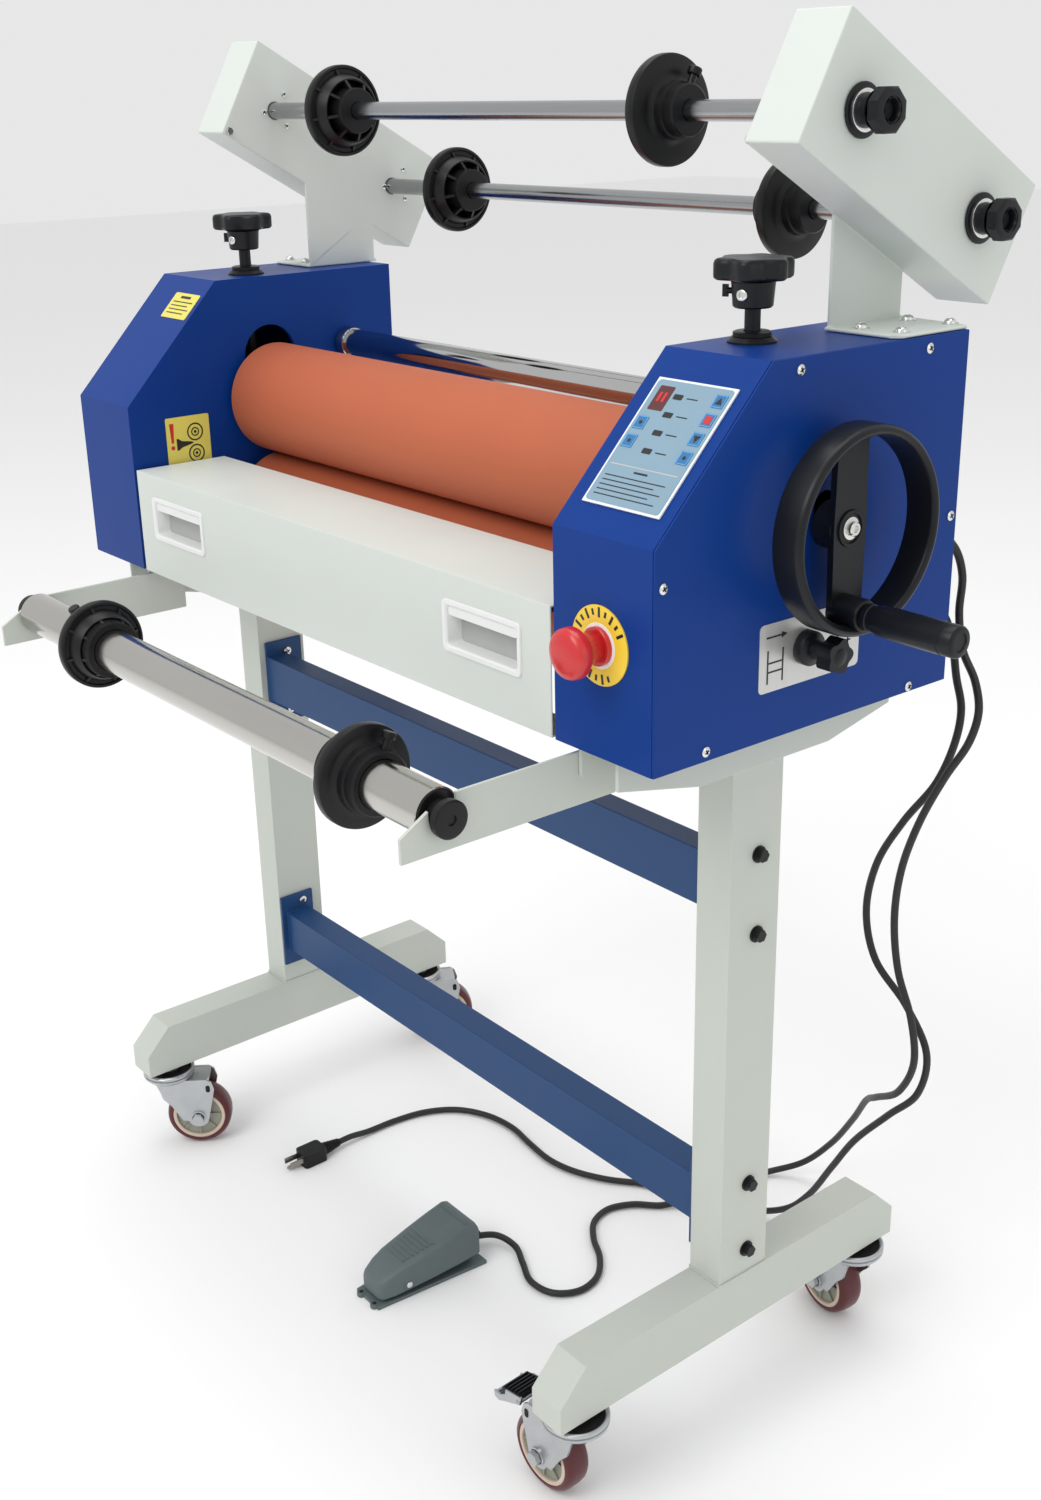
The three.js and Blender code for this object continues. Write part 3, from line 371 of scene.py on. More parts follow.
def pan_screw(build, place, radius=3.6, height=1.8, painted_shade_slot=1):
    """A domed screw head with a cross recess, standing on the place's XY plane."""
    build.slot = 0
    build.turned([(0, radius), (height * 0.45, radius), (height * 0.85, radius * 0.7), (height, 0)], place,
                 20)
    # The cross recess is drawn as near-black bars: painted shade in the recess.
    build.slot = painted_shade_slot
    arm = radius * 1.05
    for angle in (0.5, 0.5 + math.pi / 2):
        spun = place @ Matrix.Rotation(angle, 4, "Z")
        build.block((arm, radius * 0.26, 0.5), spun @ Matrix.Translation((0, 0, height * 0.93 * MM)))
    build.slot = 0


def hex_bolt(build, place, flats=10.0, height=5.0, washer=8.0):
    build.turned([(0, washer), (1.2, washer), (1.2, 0)], place, 28)
    corner = flats / math.sqrt(3)
    build.prism(circle(corner, 6), height, place, base=1.2, bevel=0.5)


# ---- cords ----
OFFSET = Vector((-0.0655, 0.112, 0.0))  # from the machine's centre plane to the row frame
CORD_DIAMETER = 0.007
CORD_EXIT = 0.1106
LIE = 0.0038  # height of a cord's centre line where it lies on the floor
OVER = LIE + 0.011  # where the pedal lead passes over the mains lead

MAINS_ROUTE = [
    (0.384, CORD_EXIT, 0.749), (0.384, CORD_EXIT + 0.008, 0.7485), (0.384, 0.134, 0.743),
    (0.385, 0.148, 0.727), (0.389, 0.153, 0.705), (0.397, 0.150, 0.680), (0.409, 0.144, 0.656),
    (0.412, 0.136, 0.630), (0.400, 0.130, 0.588), (0.370, 0.125, 0.541), (0.346, 0.121, 0.492),
    (0.339, 0.119, 0.440), (0.353, 0.119, 0.396), (0.388, 0.124, 0.360), (0.412, 0.128, 0.318),
    (0.404, 0.130, 0.270), (0.370, 0.132, 0.228), (0.326, 0.138, 0.174), (0.290, 0.148, 0.118),
    (0.252, 0.158, 0.058), (0.222, 0.158, 0.024), (0.186, 0.148, 0.006), (0.150, 0.132, LIE),
    (0.108, 0.112, LIE), (0.068, 0.090, LIE), (0.034, 0.064, LIE), (-0.002, 0.046, LIE),
    (-0.036, 0.039, LIE), (-0.076, 0.042, LIE), (-0.117, 0.047, LIE), (-0.157, 0.040, LIE),
    (-0.190, 0.020, LIE), (-0.211, -0.012, LIE), (-0.220, -0.052, LIE), (-0.221, -0.090, 0.005),
    (-0.221, -0.114, 0.0085), (-0.221, -0.1307, 0.0085),
]

PEDAL_ROUTE = [
    (0.384, CORD_EXIT, 0.812), (0.384, CORD_EXIT + 0.008, 0.8115), (0.385, 0.134, 0.806),
    (0.388, 0.149, 0.791), (0.391, 0.156, 0.768), (0.392, 0.154, 0.736), (0.406, 0.144, 0.708),
    (0.430, 0.132, 0.688), (0.443, 0.122, 0.667), (0.442, 0.114, 0.642), (0.424, 0.108, 0.605),
    (0.402, 0.106, 0.556), (0.386, 0.106, 0.504), (0.382, 0.106, 0.454), (0.390, 0.106, 0.404),
    (0.408, 0.106, 0.362), (0.412, 0.110, 0.316), (0.388, 0.122, 0.268), (0.340, 0.150, 0.226),
    (0.296, 0.190, 0.184), (0.254, 0.222, 0.126), (0.210, 0.240, 0.064), (0.174, 0.236, 0.022),
    (0.146, 0.212, 0.006), (0.132, 0.180, LIE), (0.131, 0.152, LIE + 0.005), (0.130, 0.126, OVER),
    (0.124, 0.100, LIE + 0.005), (0.110, 0.078, LIE), (0.088, 0.055, LIE), (0.077, 0.028, LIE),
    (0.084, 0.002, LIE), (0.106, -0.018, LIE), (0.134, -0.034, LIE), (0.156, -0.058, LIE),
    (0.160, -0.086, LIE), (0.144, -0.109, LIE), (0.116, -0.114, LIE), (0.088, -0.102, LIE),
    (0.062, -0.092, 0.006), (0.039, -0.099, 0.010), (0.028, -0.120, 0.012), (0.027, -0.1327, 0.012),
]


def through(points, per_span=8):
    """A centripetal Catmull-Rom line through the points."""
    points = [Vector(p) for p in points]
    padded = [2 * points[0] - points[1], *points, 2 * points[-1] - points[-2]]
    line = []
    for a, b, c, d in zip(padded, padded[1:], padded[2:], padded[3:]):
        t0 = 0.0
        t1 = t0 + math.sqrt((b - a).length)
        t2 = t1 + math.sqrt((c - b).length)
        t3 = t2 + math.sqrt((d - c).length)
        for i in range(per_span):
            t = t1 + (t2 - t1) * i / per_span
            a1 = a * ((t1 - t) / (t1 - t0)) + b * ((t - t0) / (t1 - t0))
            a2 = b * ((t2 - t) / (t2 - t1)) + c * ((t - t1) / (t2 - t1))
            a3 = c * ((t3 - t) / (t3 - t2)) + d * ((t - t2) / (t3 - t2))
            b1 = a1 * ((t2 - t) / (t2 - t0)) + a2 * ((t - t0) / (t2 - t0))
            b2 = a2 * ((t3 - t) / (t3 - t1)) + a3 * ((t - t1) / (t3 - t1))
            line.append(b1 * ((t2 - t) / (t2 - t1)) + b2 * ((t - t1) / (t2 - t1)))
    line.append(points[-1])
    return line


def make_cord(name, node, route, with_pieces):
    line = [p + OFFSET for p in through(route)]
    data = bpy.data.curves.new(name, "CURVE")
    data.dimensions = "3D"
    data.bevel_depth = CORD_DIAMETER / 2
    data.bevel_resolution = 5
    data.use_fill_caps = True
    spline = data.splines.new("POLY")
    spline.points.add(len(line) - 1)
    for target, point in zip(spline.points, line):
        target.co = (*point, 1)
    data.materials.append(CORD)
    cord = bpy.data.objects.new(name, data)
    bpy.context.collection.objects.link(cord)
    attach(cord, ROOT)
    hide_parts(node)
    return cord


def make_plug():
    """A two-blade moulded plug with an earth pin, lying on the floor."""
    box_low, box_high = low("plug"), high("plug")
    centre_x = (box_low.x + box_high.x) / 2
    body_y = OFFSET.y - 0.169
    build = Build()
    lying = Matrix.Translation((centre_x, body_y, 0))
    build.prism(rounded(23.5, 30, 4), 16.6, lying, base=0.2, bevel=2.6, steps=4)
    grip = frame_along(Y_AXIS, Vector((centre_x, body_y + 0.0145, 0.0085)))
    rings = [(0, 0), (0, 8.2)]
    for i in range(6):
        start = 1.0 + 3.7 * i
        radius = 7.6 - 0.52 * i
        rings += [(start, radius), (start + 2.2, radius), (start + 2.3, radius - 1.3),
                  (start + 3.5, radius - 1.4)]
    rings += [(23.3, 4.4), (23.3, 0)]
    build.turned(rings, grip, 28)
    plug = build.done("plug_body", BLACK, ROOT, 40)
    pins = Build()
    for offset in (-6.35, 6.35):
        blade = Matrix.Translation((centre_x + offset * MM, body_y - 0.0235, 0.0100))
        pins.block((1.5, 17.5, 6.3), blade, bevel=0.5)
    pins.turned([(0, 2.4), (16, 2.4), (18.4, 1.2), (18.6, 0)],
                frame_along(-Y_AXIS, Vector((centre_x, body_y - 0.0148, 0.0040))), 20)
    blades = pins.done("plug_pins", BLADES, ROOT, 40)
    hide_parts("plug")
    return [plug, blades]


def make_gland(name, node):
    centre = middle(node)
    face = COVER_HIGH.y
    build = Build()
    place = frame_along(Y_AXIS, Vector((centre.x, face, centre.z)))
    build.prism(circle(11.5, 6, start=0.3), 5.5, place, base=0.2, bevel=0.8)
    profile = [(5.7, 9.2), (7.0, 9.2), (8.0, 7.4)]
    for i in range(6):
        start = 9.0 + 4.0 * i
        radius = 7.2 - 0.42 * i
        profile += [(start, radius), (start + 2.4, radius), (start + 2.6, radius - 1.0),
                    (start + 3.8, radius - 1.1)]
    profile += [(34.0, 4.3), (34.0, 3.6)]
    build.turned(profile, place, 28)
    gland = build.done(name, BLACK, ROOT, 40)
    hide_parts(node)
    return gland


make_camera()
make_stage()
make_cord("mains_lead", "cord_mains", MAINS_ROUTE, make_plug())
make_cord("pedal_lead", "cord_pedal", PEDAL_ROUTE, [])
make_gland("mains_gland", "gland_mains")
make_gland("pedal_gland", "gland_pedal")


# ---- stand ----
def dress_stand():
    for side in SIDES:
        dress(f"foot_{side}", STAND, 1.6)
        dress(f"upright_{side}", STAND, 2.0)
        dress(f"saddle_{side}", STAND, 0.8)
        dress(f"front_arm_{side}", STAND, 0.6)
    dress("crossbeam_upper", BEAM, 0.8)
    dress("crossbeam_lower", BEAM, 0.8)


def stand_bolts():
    """Black capped bolts through the outer faces of the posts, at the ends of both crossbeams."""
    y = (low("upright_right").y + high("upright_right").y) / 2
    heights = []
    for beam, drops in (("crossbeam_upper", (0.012, 0.085)), ("crossbeam_lower", (0.017, 0.087))):
        heights += [high(beam).z - drop for drop in drops]
    for side, sign in SIDES.items():
        face = high("upright_right").x if sign > 0 else low("upright_left").x
        build = Build()
        for z in heights:
            place = frame_along(X_AXIS * sign, Vector((face, y + 0.003, z)))
            build.turned([(0, 7.4), (1.6, 7.4), (1.7, 6.2), (2.6, 6.2), (3.0, 5.0)], place, 24)
            build.prism(circle(5.6, 6), 4.6, place, base=2.6, bevel=0.6)
        build.done(f"post_bolts_{side}", BLACK, ROOT, 40)


def beam_screws():
    """Chrome screws in the crossbeams' end plates, seen on the inner side."""
    build = Build()
    for beam, drops in (("crossbeam_upper", (0.014, 0.083)), ("crossbeam_lower", (0.010, 0.079))):
        for sign in (1, -1):
            plate = high(beam).x if sign > 0 else low(beam).x
            y = high(beam).y - (0.019 if beam == "crossbeam_upper" else 0.014)
            for drop in drops:
                centre = Vector((plate - sign * 0.0033, y, high(beam).z - drop))
                pan_screw(build, frame_along(-X_AXIS * sign, centre), 4.6, 2.6)
    build.done("beam_screws", [SCREW, PAINTED_SHADE_BLACK], ROOT, 40)


def post_welds():
    """Welded seams round the posts where they stand on the feet."""
    for side in SIDES:
        node = f"upright_{side}"
        centre = middle(node)
        size = extent(node)
        build = Build()
        place = Matrix.Translation((centre.x, centre.y, low(node).z))
        outer = rounded(size.x * 1000 + 3.2, size.y * 1000 + 3.2, 3)
        build.prism(outer, 1.5, place, base=0.0, bevel=0.6)
        build.done(f"post_weld_{side}", STAND, ROOT, 40)


# ---- casters ----
CASTER_TRAIL = 32.0
WHEEL_RADIUS = 37.5


def caster_frame(name):
    """The caster's own axes: Z up from the floor at the swivel, X the way the wheel trails."""
    joints = {j["name"]: j for j in frame["record"]["behaviour"]["joints"]}
    swivel = Vector(joints[f"swivel_{name}"]["pos_m"])
    side = Vector(joints[f"wheel_spin_{name}"]["axis"])
    trail = side.cross(Z_AXIS)
    turn = Matrix((trail, side, Z_AXIS)).transposed().to_4x4()
    return Matrix.Translation((swivel.x, swivel.y, 0)) @ turn


def local(x, y, z):
    return Matrix.Translation((x * MM, y * MM, z * MM))


def make_fork(name, place):
    build = Build()
    raceway = [(84.5, 0), (84.5, 20), (86, 24), (88.5, 27.5), (91, 29.6), (93.2, 29.8), (93.8, 28.2),
               (94.4, 28.2), (95.2, 29.6), (97.4, 29.8), (98.6, 28.6), (98.8, 27.2), (97.6, 26)]
    build.turned(raceway, place, 56)
    build.turned([(98.4, 12.6), (99, 12), (103.7, 12), (103.7, 0)], place, 36)
    # Near-black dish between the raceway rings: painted shade in the gap.
    build.slot = 1
    build.turned([(97.6, 26), (95.4, 22), (95.2, 13), (98.4, 12.6)], place, 56)
    build.slot = 0
    sideways = Matrix.Rotation(math.pi / 2, 4, "X")
    cheek = [(-17, 86)] + [(-17 + 10 * t, 86 - 22 * t * t) for t in (0.4, 0.8, 1.0)]
    cheek += [(2, 54), (14, 34)]
    cheek += [(CASTER_TRAIL + 12.5 * math.cos(a), WHEEL_RADIUS + 12.5 * math.sin(a))
              for a in (math.radians(d) for d in range(200, 351, 15))]
    cheek += [(50, 60), (53, 74), (50, 84), (44, 88), (-12, 88)]
    for offset in (-17.2, 14.6):
        plane = place @ local(0, offset + 2.6, 0) @ sideways
        build.prism(cheek, 2.6, plane, bevel=0.5)
    build.prism(rounded(62, 32, 5, x=16), 3.0, place, base=84.6, bevel=1.0)
    axle = place @ local(CASTER_TRAIL, 0, WHEEL_RADIUS)
    across = frame_along((0, 1, 0), (0, 0, 0))
    build.turned([(-17.5, 4.6), (17.5, 4.6)], axle @ across, 20)
    for sign in (1, -1):
        face = frame_along((0, sign, 0), (0, sign * 17.3 * MM, 0))
        build.turned([(0, 8.6), (1.2, 8.6), (1.6, 7.4)], axle @ face, 28)
        build.prism(circle(7.0, 6), 5.6, axle @ face, base=1.2, bevel=0.7)
    # Near-black sheets on the cheeks: painted shade standing in for open slots.
    build.slot = 1
    for sign in (1, -1):
        face = frame_along((0, sign, 0), (0, 0, 0))
        slot_place = place @ local(46, sign * 17.25, 76) @ face
        build.prism(rounded(5, 9, 2.4), 0.3, slot_place)
    fork = build.done(f"caster_fork_detail_{name}", [ZINC, PAINTED_SHADE_BLACK], f"caster_{name}", 40)
    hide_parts(f"caster_fork_{name}")


def make_wheel(name, place):
    axle = place @ local(CASTER_TRAIL, 0, WHEEL_RADIUS) @ frame_along((0, 1, 0), (0, 0, 0))
    build = Build()
    half = 13.0
    tyre = [(-half + 0.8, 30.2), (-half, 31.2), (-half + 0.2, 33), (-half + 1.6, 35.2), (-half + 4, 36.7),
            (-half + 8, 37.3), (0, 37.5)]
    tyre += [(-s, r) for s, r in reversed(tyre[:-1])]
    build.turned(tyre, axle, 72)
    build.slot = 1
    for sign in (1, -1):
        band = [(sign * (half - 0.8), 30.2), (sign * (half - 0.5), 29), (sign * (half - 0.6), 26.6),
                (sign * (half - 2.2), 26.2)]
        build.turned(band, axle, 72)
    build.slot = 2
    for sign in (1, -1):
        hub = [(sign * (half - 2.2), 26.2), (sign * (half - 4.2), 25.2), (sign * (half - 5.0), 14),
               (sign * (half - 3.0), 12.2), (sign * (half - 0.6), 11.6), (sign * (half - 0.2), 10.8),
               (sign * (half - 0.2), 5.2)]
        build.turned(hub, axle, 60)
        for i in range(8):
            spoke = axle @ Matrix.Rotation(i * math.pi / 4, 4, "Z")
            build.block((12, 1.8, 3.2), spoke @ local(19.2, 0, sign * (half - 3.9)), bevel=0.4)
    build.turned([(-12.8, 5.2), (12.8, 5.2)], axle, 30)
    wheel = build.done(f"caster_wheel_detail_{name}", [TYRE, TYRE_BAND, HUB], f"wheel_{name}", 40)
    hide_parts(f"caster_wheel_{name}")


def make_brake(name, place):
    """A ribbed black tread over a zinc hook that reaches outwards."""
    build = Build()
    plane = place @ local(69, 0, 80) @ Matrix.Rotation(math.radians(14), 4, "Y")
    build.slot = 1
    build.block((25, 30, 6), plane, bevel=1.4, steps=3)
    for i in range(5):
        build.block((1.8, 27, 2.2), plane @ local(-9.6 + 4.8 * i, 0, 3.6), bevel=0.5)
    build.slot = 0
    hook = [(-16, 2), (-12, -6), (6, -9), (20, -12), (25, -9), (24, -3), (17, -5.5), (8, -2), (6, 3)]
    for offset in (-16.4, 14.4):
        upright = plane @ local(0, offset + 2, 0) @ Matrix.Rotation(math.pi / 2, 4, "X")
        build.prism(hook, 2.0, upright, bevel=0.5)
    build.block((3, 32, 6), plane @ local(22.6, 0, -7.5), bevel=0.8)
    build.turned([(-17, 2.2), (17, 2.2)], plane @ local(-11, 0, -3) @ frame_along((0, 1, 0), (0, 0, 0)), 18)
    brake = build.done(f"caster_brake_detail_{name}", [ZINC, BLACK], f"brake_{name}", 40)
    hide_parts(f"caster_brake_{name}")


def make_casters():
    for name in ("front_right", "back_right", "front_left", "back_left"):
        place = caster_frame(name)
        make_fork(name, place)
        make_wheel(name, place)
        if f"caster_brake_{name}" in frame["nodes"]:
            make_brake(name, place)


# ---- housings ----
def dress_housings():
    for side in SIDES:
        dress(f"housing_{side}", BLUE, 1.2)
        dress(f"side_cover_{side}", BLUE, 0.7)


def cover_screws():
    spots = ((0.1375, -0.009), (0.2785, -0.009), (0.3175, -0.143), (0.0075, -0.142), (0.0515, -0.273),
             (0.2785, -0.276))
    for side, sign in SIDES.items():
        face = COVER_HIGH.x if sign > 0 else low("side_cover_left").x
        build = Build()
        for back, down in spots:
            centre = Vector((face, COVER_LOW.y + back, COVER_HIGH.z + down))
            pan_screw(build, frame_along(X_AXIS * sign, centre), 4.0, 2.0)
        build.done(f"cover_screws_{side}", [SCREW, PAINTED_SHADE_BLACK], ROOT, 40)


dress_stand()
stand_bolts()
beam_screws()
post_welds()
make_casters()
dress_housings()
cover_screws()


# ---- places inside a machine piece ----
def spot(x, y, z):
    """A point in the row frame from millimetres off the machine's centre plane."""
    return Vector((x, y, z)) * MM + OFFSET


def axle(node, reverse=False):
    """The axis of a piece that lies along X, from the machine's centre plane."""
    centre = middle(node)
    direction = -X_AXIS if reverse else X_AXIS
    return frame_along(direction, Vector((CENTRE_PLANE, centre.y, centre.z)))


def flat_on(origin, right, up):
    """Local X to the right, local Y up and local Z out of a face."""
    right = Vector(right).normalized()
    up = Vector(up).normalized()
    out = right.cross(up)
    return Matrix.Translation(origin) @ Matrix((right, up, out)).transposed().to_4x4()


# ---- rollers ----
def make_roller(level):
    rubber = f"{level}_roller_rubber"
    shaft = f"{level}_roller_shaft"
    radius = extent(rubber).z * 500
    half = extent(rubber).x * 500
    axis = axle(rubber)
    build = Build()
    edge = [(-half, 22.4), (-half, radius - 2.2), (-half + 0.6, radius - 0.7), (-half + 2.0, radius)]
    build.turned(edge + [(-s, r) for s, r in reversed(edge)], axis, 128)
    piece = build.done(f"{level}_rubber_sleeve", SALMON, f"{level}_roller", 30)
    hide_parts(rubber)
    left, right = ends(shaft)
    core = half + 2
    steps = [(left, 0), (left, 14), (left + 1, 15), (-core, 15), (-core, 21.4), (-core + 0.6, 22),
             (core - 0.6, 22), (core, 21.4), (core, 15)]
    if level == "upper":
        steps += [(381, 15), (382, 14), (382, 10), (right - 1, 10), (right, 9), (right, 0)]
    else:
        steps += [(362, 15), (362, 36), (363, 37.6), (367, 37.6), (368, 36), (368, 15), (right, 15),
                  (right, 0)]
    build = Build()
    build.turned(steps, axis, 64)
    piece = build.done(f"{level}_steel_core", TURNED, f"{level}_roller", 30)
    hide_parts(shaft)


def make_bearings():
    for side, sign in SIDES.items():
        node = f"bearing_block_{side}"
        centre = middle(node)
        size = extent(node) * 1000
        dress(node, TURNED, 1.0)
        build = Build()
        face = Vector((centre.x - sign * size.x * 0.5 * MM, UPPER_AXIS.y, UPPER_AXIS.z))
        place = frame_along(-X_AXIS * sign, face)
        build.turned([(0, 15.6), (0, 25), (1.0, 25.4), (1.6, 25), (1.6, 22), (0.9, 21), (0.9, 18),
                      (1.4, 17.4),
                      (1.4, 15.6)], place, 56)
        build.done(f"bearing_ring_{side}", SCREW, "bearing_carriage", 40)


def make_guide_bar():
    half = 331
    axis = axle("guide_bar")
    build = Build()
    build.turned([(-340, 0), (-340, 7), (-339, 8), (-half, 8), (-half, 13), (-half + 0.8, 14.4),
                  (-half + 2, 15), (half - 2, 15), (half - 0.8, 14.4), (half, 13), (half, 8), (339, 8),
                  (340, 7), (340, 0)], axis, 72)
    build.turned([(-half + 0.2, 15.0), (-half + 0.2, 16.0), (-half + 1, 16.5), (-half + 12, 16.5),
                  (-half + 13.4, 16.0), (-half + 13.8, 15.0)], axis, 72)
    bar = build.done("guide_bar_chrome", CHROME, "guide_bar", 30)
    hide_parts("guide_bar")


# ---- feed table ----
PULL_WINDOWS = ((-294, -198), (196, 291))
PULL_LOW = 747
PULL_HIGH = 786


def make_table():
    dress("feed_table", WHITE, 1.3)
    front = low("feed_table").y
    build = Build()
    for left, right in PULL_WINDOWS:
        centre = Vector((CENTRE_PLANE + (left + right) / 2 * MM, front, (PULL_LOW + PULL_HIGH) / 2 * MM))
        width, height = right - left, PULL_HIGH - PULL_LOW
        place = flat_on(centre, X_AXIS, Z_AXIS)
        recessed_pull(build, place, width, height)
    build.done("table_pulls", [PULL, PULL_PAINTED_SHADE], "feed_table", 38)


def recessed_pull(build, place, width, height):
    """A moulded cup with a raised bezel round it and a finger space behind its upper edge."""
    rim = [rounded(width + 5, height + 5, 5), rounded(width + 4, height + 4, 4.6),
           rounded(width - 3, height - 3, 3.6),
           rounded(width - 6, height - 6, 3.2), rounded(width - 10, height - 12, 3, y=-2)]
    depth = [0.1, 1.6, 1.6, 0.2, -12.5]
    rings = []
    for points, z in zip(rim, depth):
        rings.append([build.mesh.verts.new(place @ (Vector((x, y, z)) * MM)) for x, y in points])
    for outer, inner in zip(rings, rings[1:]):
        build.bridge(outer, inner, len(outer))
    # The cup's bottom face takes the darker grey: painted shade in the recess.
    build.slot = 1
    build.take([build.mesh.faces.new(list(reversed(rings[-1])))])
    build.slot = 0
    build.prism(rounded(width - 8, 8, 2.5, y=height / 2 - 7), 1.6, place, base=-2.2, bevel=0.5)


# ---- controls ----
def panel_frame():
    """The control panel's face: right along X, up the slope of the housing."""
    lowest, highest = low("control_panel"), high("control_panel")
    slope = (Vector((0, highest.y - lowest.y, highest.z - lowest.z))).normalized()
    middle_point = (lowest + highest) / 2
    out = X_AXIS.cross(slope)
    return flat_on(middle_point + out * 0.0007, X_AXIS, slope)


def make_panel():
    dress("control_panel", FOIL_EDGE, 0.0)
    width = extent("control_panel").x * 1000
    height = math.hypot(extent("control_panel").y, extent("control_panel").z) * 1000
    face = panel_frame()
    build = Build()
    build.prism(rounded(width - 4, height - 5, 3), 0.35, face, bevel=0.1)
    left, top = -width / 2, height / 2
    build.slot = 1
    build.prism(rounded(15, 21, 1.0, x=left + 15, y=top - 18), 0.5, face, bevel=0.15)
    build.slot = 2
    for i in range(2):
        build.prism(rounded(2.6, 8, 0.4, x=left + 12.4 + 5.0 * i, y=top - 17), 0.62, face)
    build.slot = 3
    for i in range(4):
        x, y = left + 30 + 0.8 * i, top - 15 - 15.5 * i
        build.prism(rounded(9, 4.4, 0.8, x=x, y=y), 0.6, face)
        build.prism(rounded(11, 1.0, 0.2, x=x + 14, y=y), 0.42, face)
    build.slot = 4
    for i in range(4):
        build.prism(rounded(11, 11, 1.6, x=-left - 10, y=top - 13 - 16 * i), 0.75, face, bevel=0.25)
    for i in range(2):
        build.prism(rounded(11, 11, 1.6, x=left + 10, y=top - 40 - 16 * i), 0.75, face, bevel=0.25)
    build.slot = 3
    key_signs(build, face, left, top)
    build.slot = 3
    build.prism(rounded(14, 1.6, 0.3, x=0, y=top - 80), 0.42, face)
    for i in range(5):
        build.prism(rounded(62 - 9 * (i % 2), 0.9, 0.3, x=-2 - 4.5 * (i % 2), y=top - 85.5 - 4.0 * i), 0.42,
                    face)
    build.slot = 6
    build.prism(rounded(width - 12, 0.8, 0.2, y=top - 76), 0.42, face)
    build.done("panel_foil_face", [FOIL, WINDOW, RED, INK, KEY, FOIL_EDGE, PLATE, KEY_EDGE], ROOT, 40)


def key_signs(build, face, left, top):
    """Plain marks on the keys: up, stop square, down and dots, each in a thin frame."""
    x = -left - 10
    up = [(x - 3.2, top - 15.5), (x + 3.2, top - 15.5), (x, top - 10)]
    down = [(x - 3.2, top - 42.5), (x, top - 48), (x + 3.2, top - 42.5)]
    build.prism(up, 0.2, face, base=0.75)
    build.prism(down, 0.2, face, base=0.75)
    for cx, cy in ((x, top - 61), (left + 10, top - 40), (left + 10, top - 56)):
        build.prism(circle(1.5, 16, x=cx, y=cy), 0.2, face, base=0.75)
    build.slot = 2
    build.prism(rounded(6.4, 6.4, 0.6, x=x, y=top - 29), 0.2, face, base=0.75)
    build.slot = 7
    for cx, cy in [(x, top - 13 - 16 * i) for i in range(4)] + [(left + 10, top - 40), (left + 10, top - 56)]:
        for dx, dy, wide, tall in ((0, 4.9, 11, 0.7), (0, -4.9, 11, 0.7), (4.9, 0, 0.7, 11),
                                   (-4.9, 0, 0.7, 11)):
            build.prism(rounded(wide, tall, 0.2, x=cx + dx, y=cy + dy), 0.12, face, base=0.75)


def make_stop():
    centre = middle("stop_button")
    front = low("stop_button").y
    wall = COVER_LOW.y
    axis = frame_along(-Y_AXIS, Vector((centre.x, wall, centre.z)))
    reach = (wall - front) * 1000
    build = Build()
    head = [(reach, 0), (reach - 0.1, 6), (reach - 0.8, 11.5), (reach - 2.0, 15.4), (reach - 3.8, 17.8),
            (reach - 6, 18.9), (reach - 9, 19.2), (reach - 12.6, 19.0), (reach - 14.4, 17.6),
            (reach - 15, 15.2),
            (reach - 15, 9)]
    build.turned(head, axis, 80)
    build.turned([(reach - 14.6, 15.2), (reach - 16.5, 15.2), (reach - 21.5, 12.4), (-8, 9), (-8, 0)], axis,
                 56)
    button = build.done("stop_mushroom", RED, "stop_button", 32)
    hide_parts("stop_button")
    label = Build()
    label.turned([(0.15, 9.6), (0.15, 30), (1.3, 30), (1.5, 29.6), (1.5, 17.5), (1.5, 9.6)], axis, 96)
    label.slot = 1
    for centre_angle, marks in ((math.pi / 2, 9), (-math.pi / 2, 4)):
        for i in range(marks):
            angle = centre_angle + (i - (marks - 1) / 2) * 0.27
            spun = axis @ Matrix.Rotation(angle, 4, "Z")
            label.block((7.5 - 3 * (i % 2), 2.2, 0.25), spun @ local(25.0, 0, 1.55))
    label.slot = 2
    label.turned([(1.5, 17), (1.9, 17), (2.1, 16.6), (2.1, 12), (1.6, 12)], axis, 72)
    label.slot = 3
    label.turned([(1.6, 10.2), (5.4, 10.2), (5.8, 11.6), (5.8, 14), (5.2, 14.6), (1.6, 14.6)], axis, 48)
    label.done("stop_collar", [YELLOW, INK, PULL, RED], ROOT, 40)


def make_clutch():
    axis = axle("clutch_knob")
    outer = (COVER_HIGH.x - CENTRE_PLANE) * 1000
    build = Build()
    build.turned([(outer - 15, 0), (outer - 15, 6), (outer + 0.7, 6), (outer + 0.7, 13), (outer + 1.4, 13.5),
                  (outer + 8, 13.5), (outer + 9.4, 12.6), (outer + 11.5, 7.6), (outer + 20, 7),
                  (outer + 22, 9.5), (outer + 23.5, 10.5)], axis, 48)
    lobes = []
    for i in range(60):
        angle = 2 * math.pi * i / 60
        radius = 12.4 + 1.5 * math.cos(5 * angle)
        lobes.append((radius * math.cos(angle), radius * math.sin(angle)))
    build.prism(lobes, 13.2, axis, base=outer + 22.5, bevel=1.4, steps=3)
    build.turned([(outer + 35.6, 7), (outer + 36.6, 5.6), (outer + 36.9, 0)], axis, 32)
    knob = build.done("clutch_grip", SATIN, "clutch_knob", 40)
    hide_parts("clutch_knob")


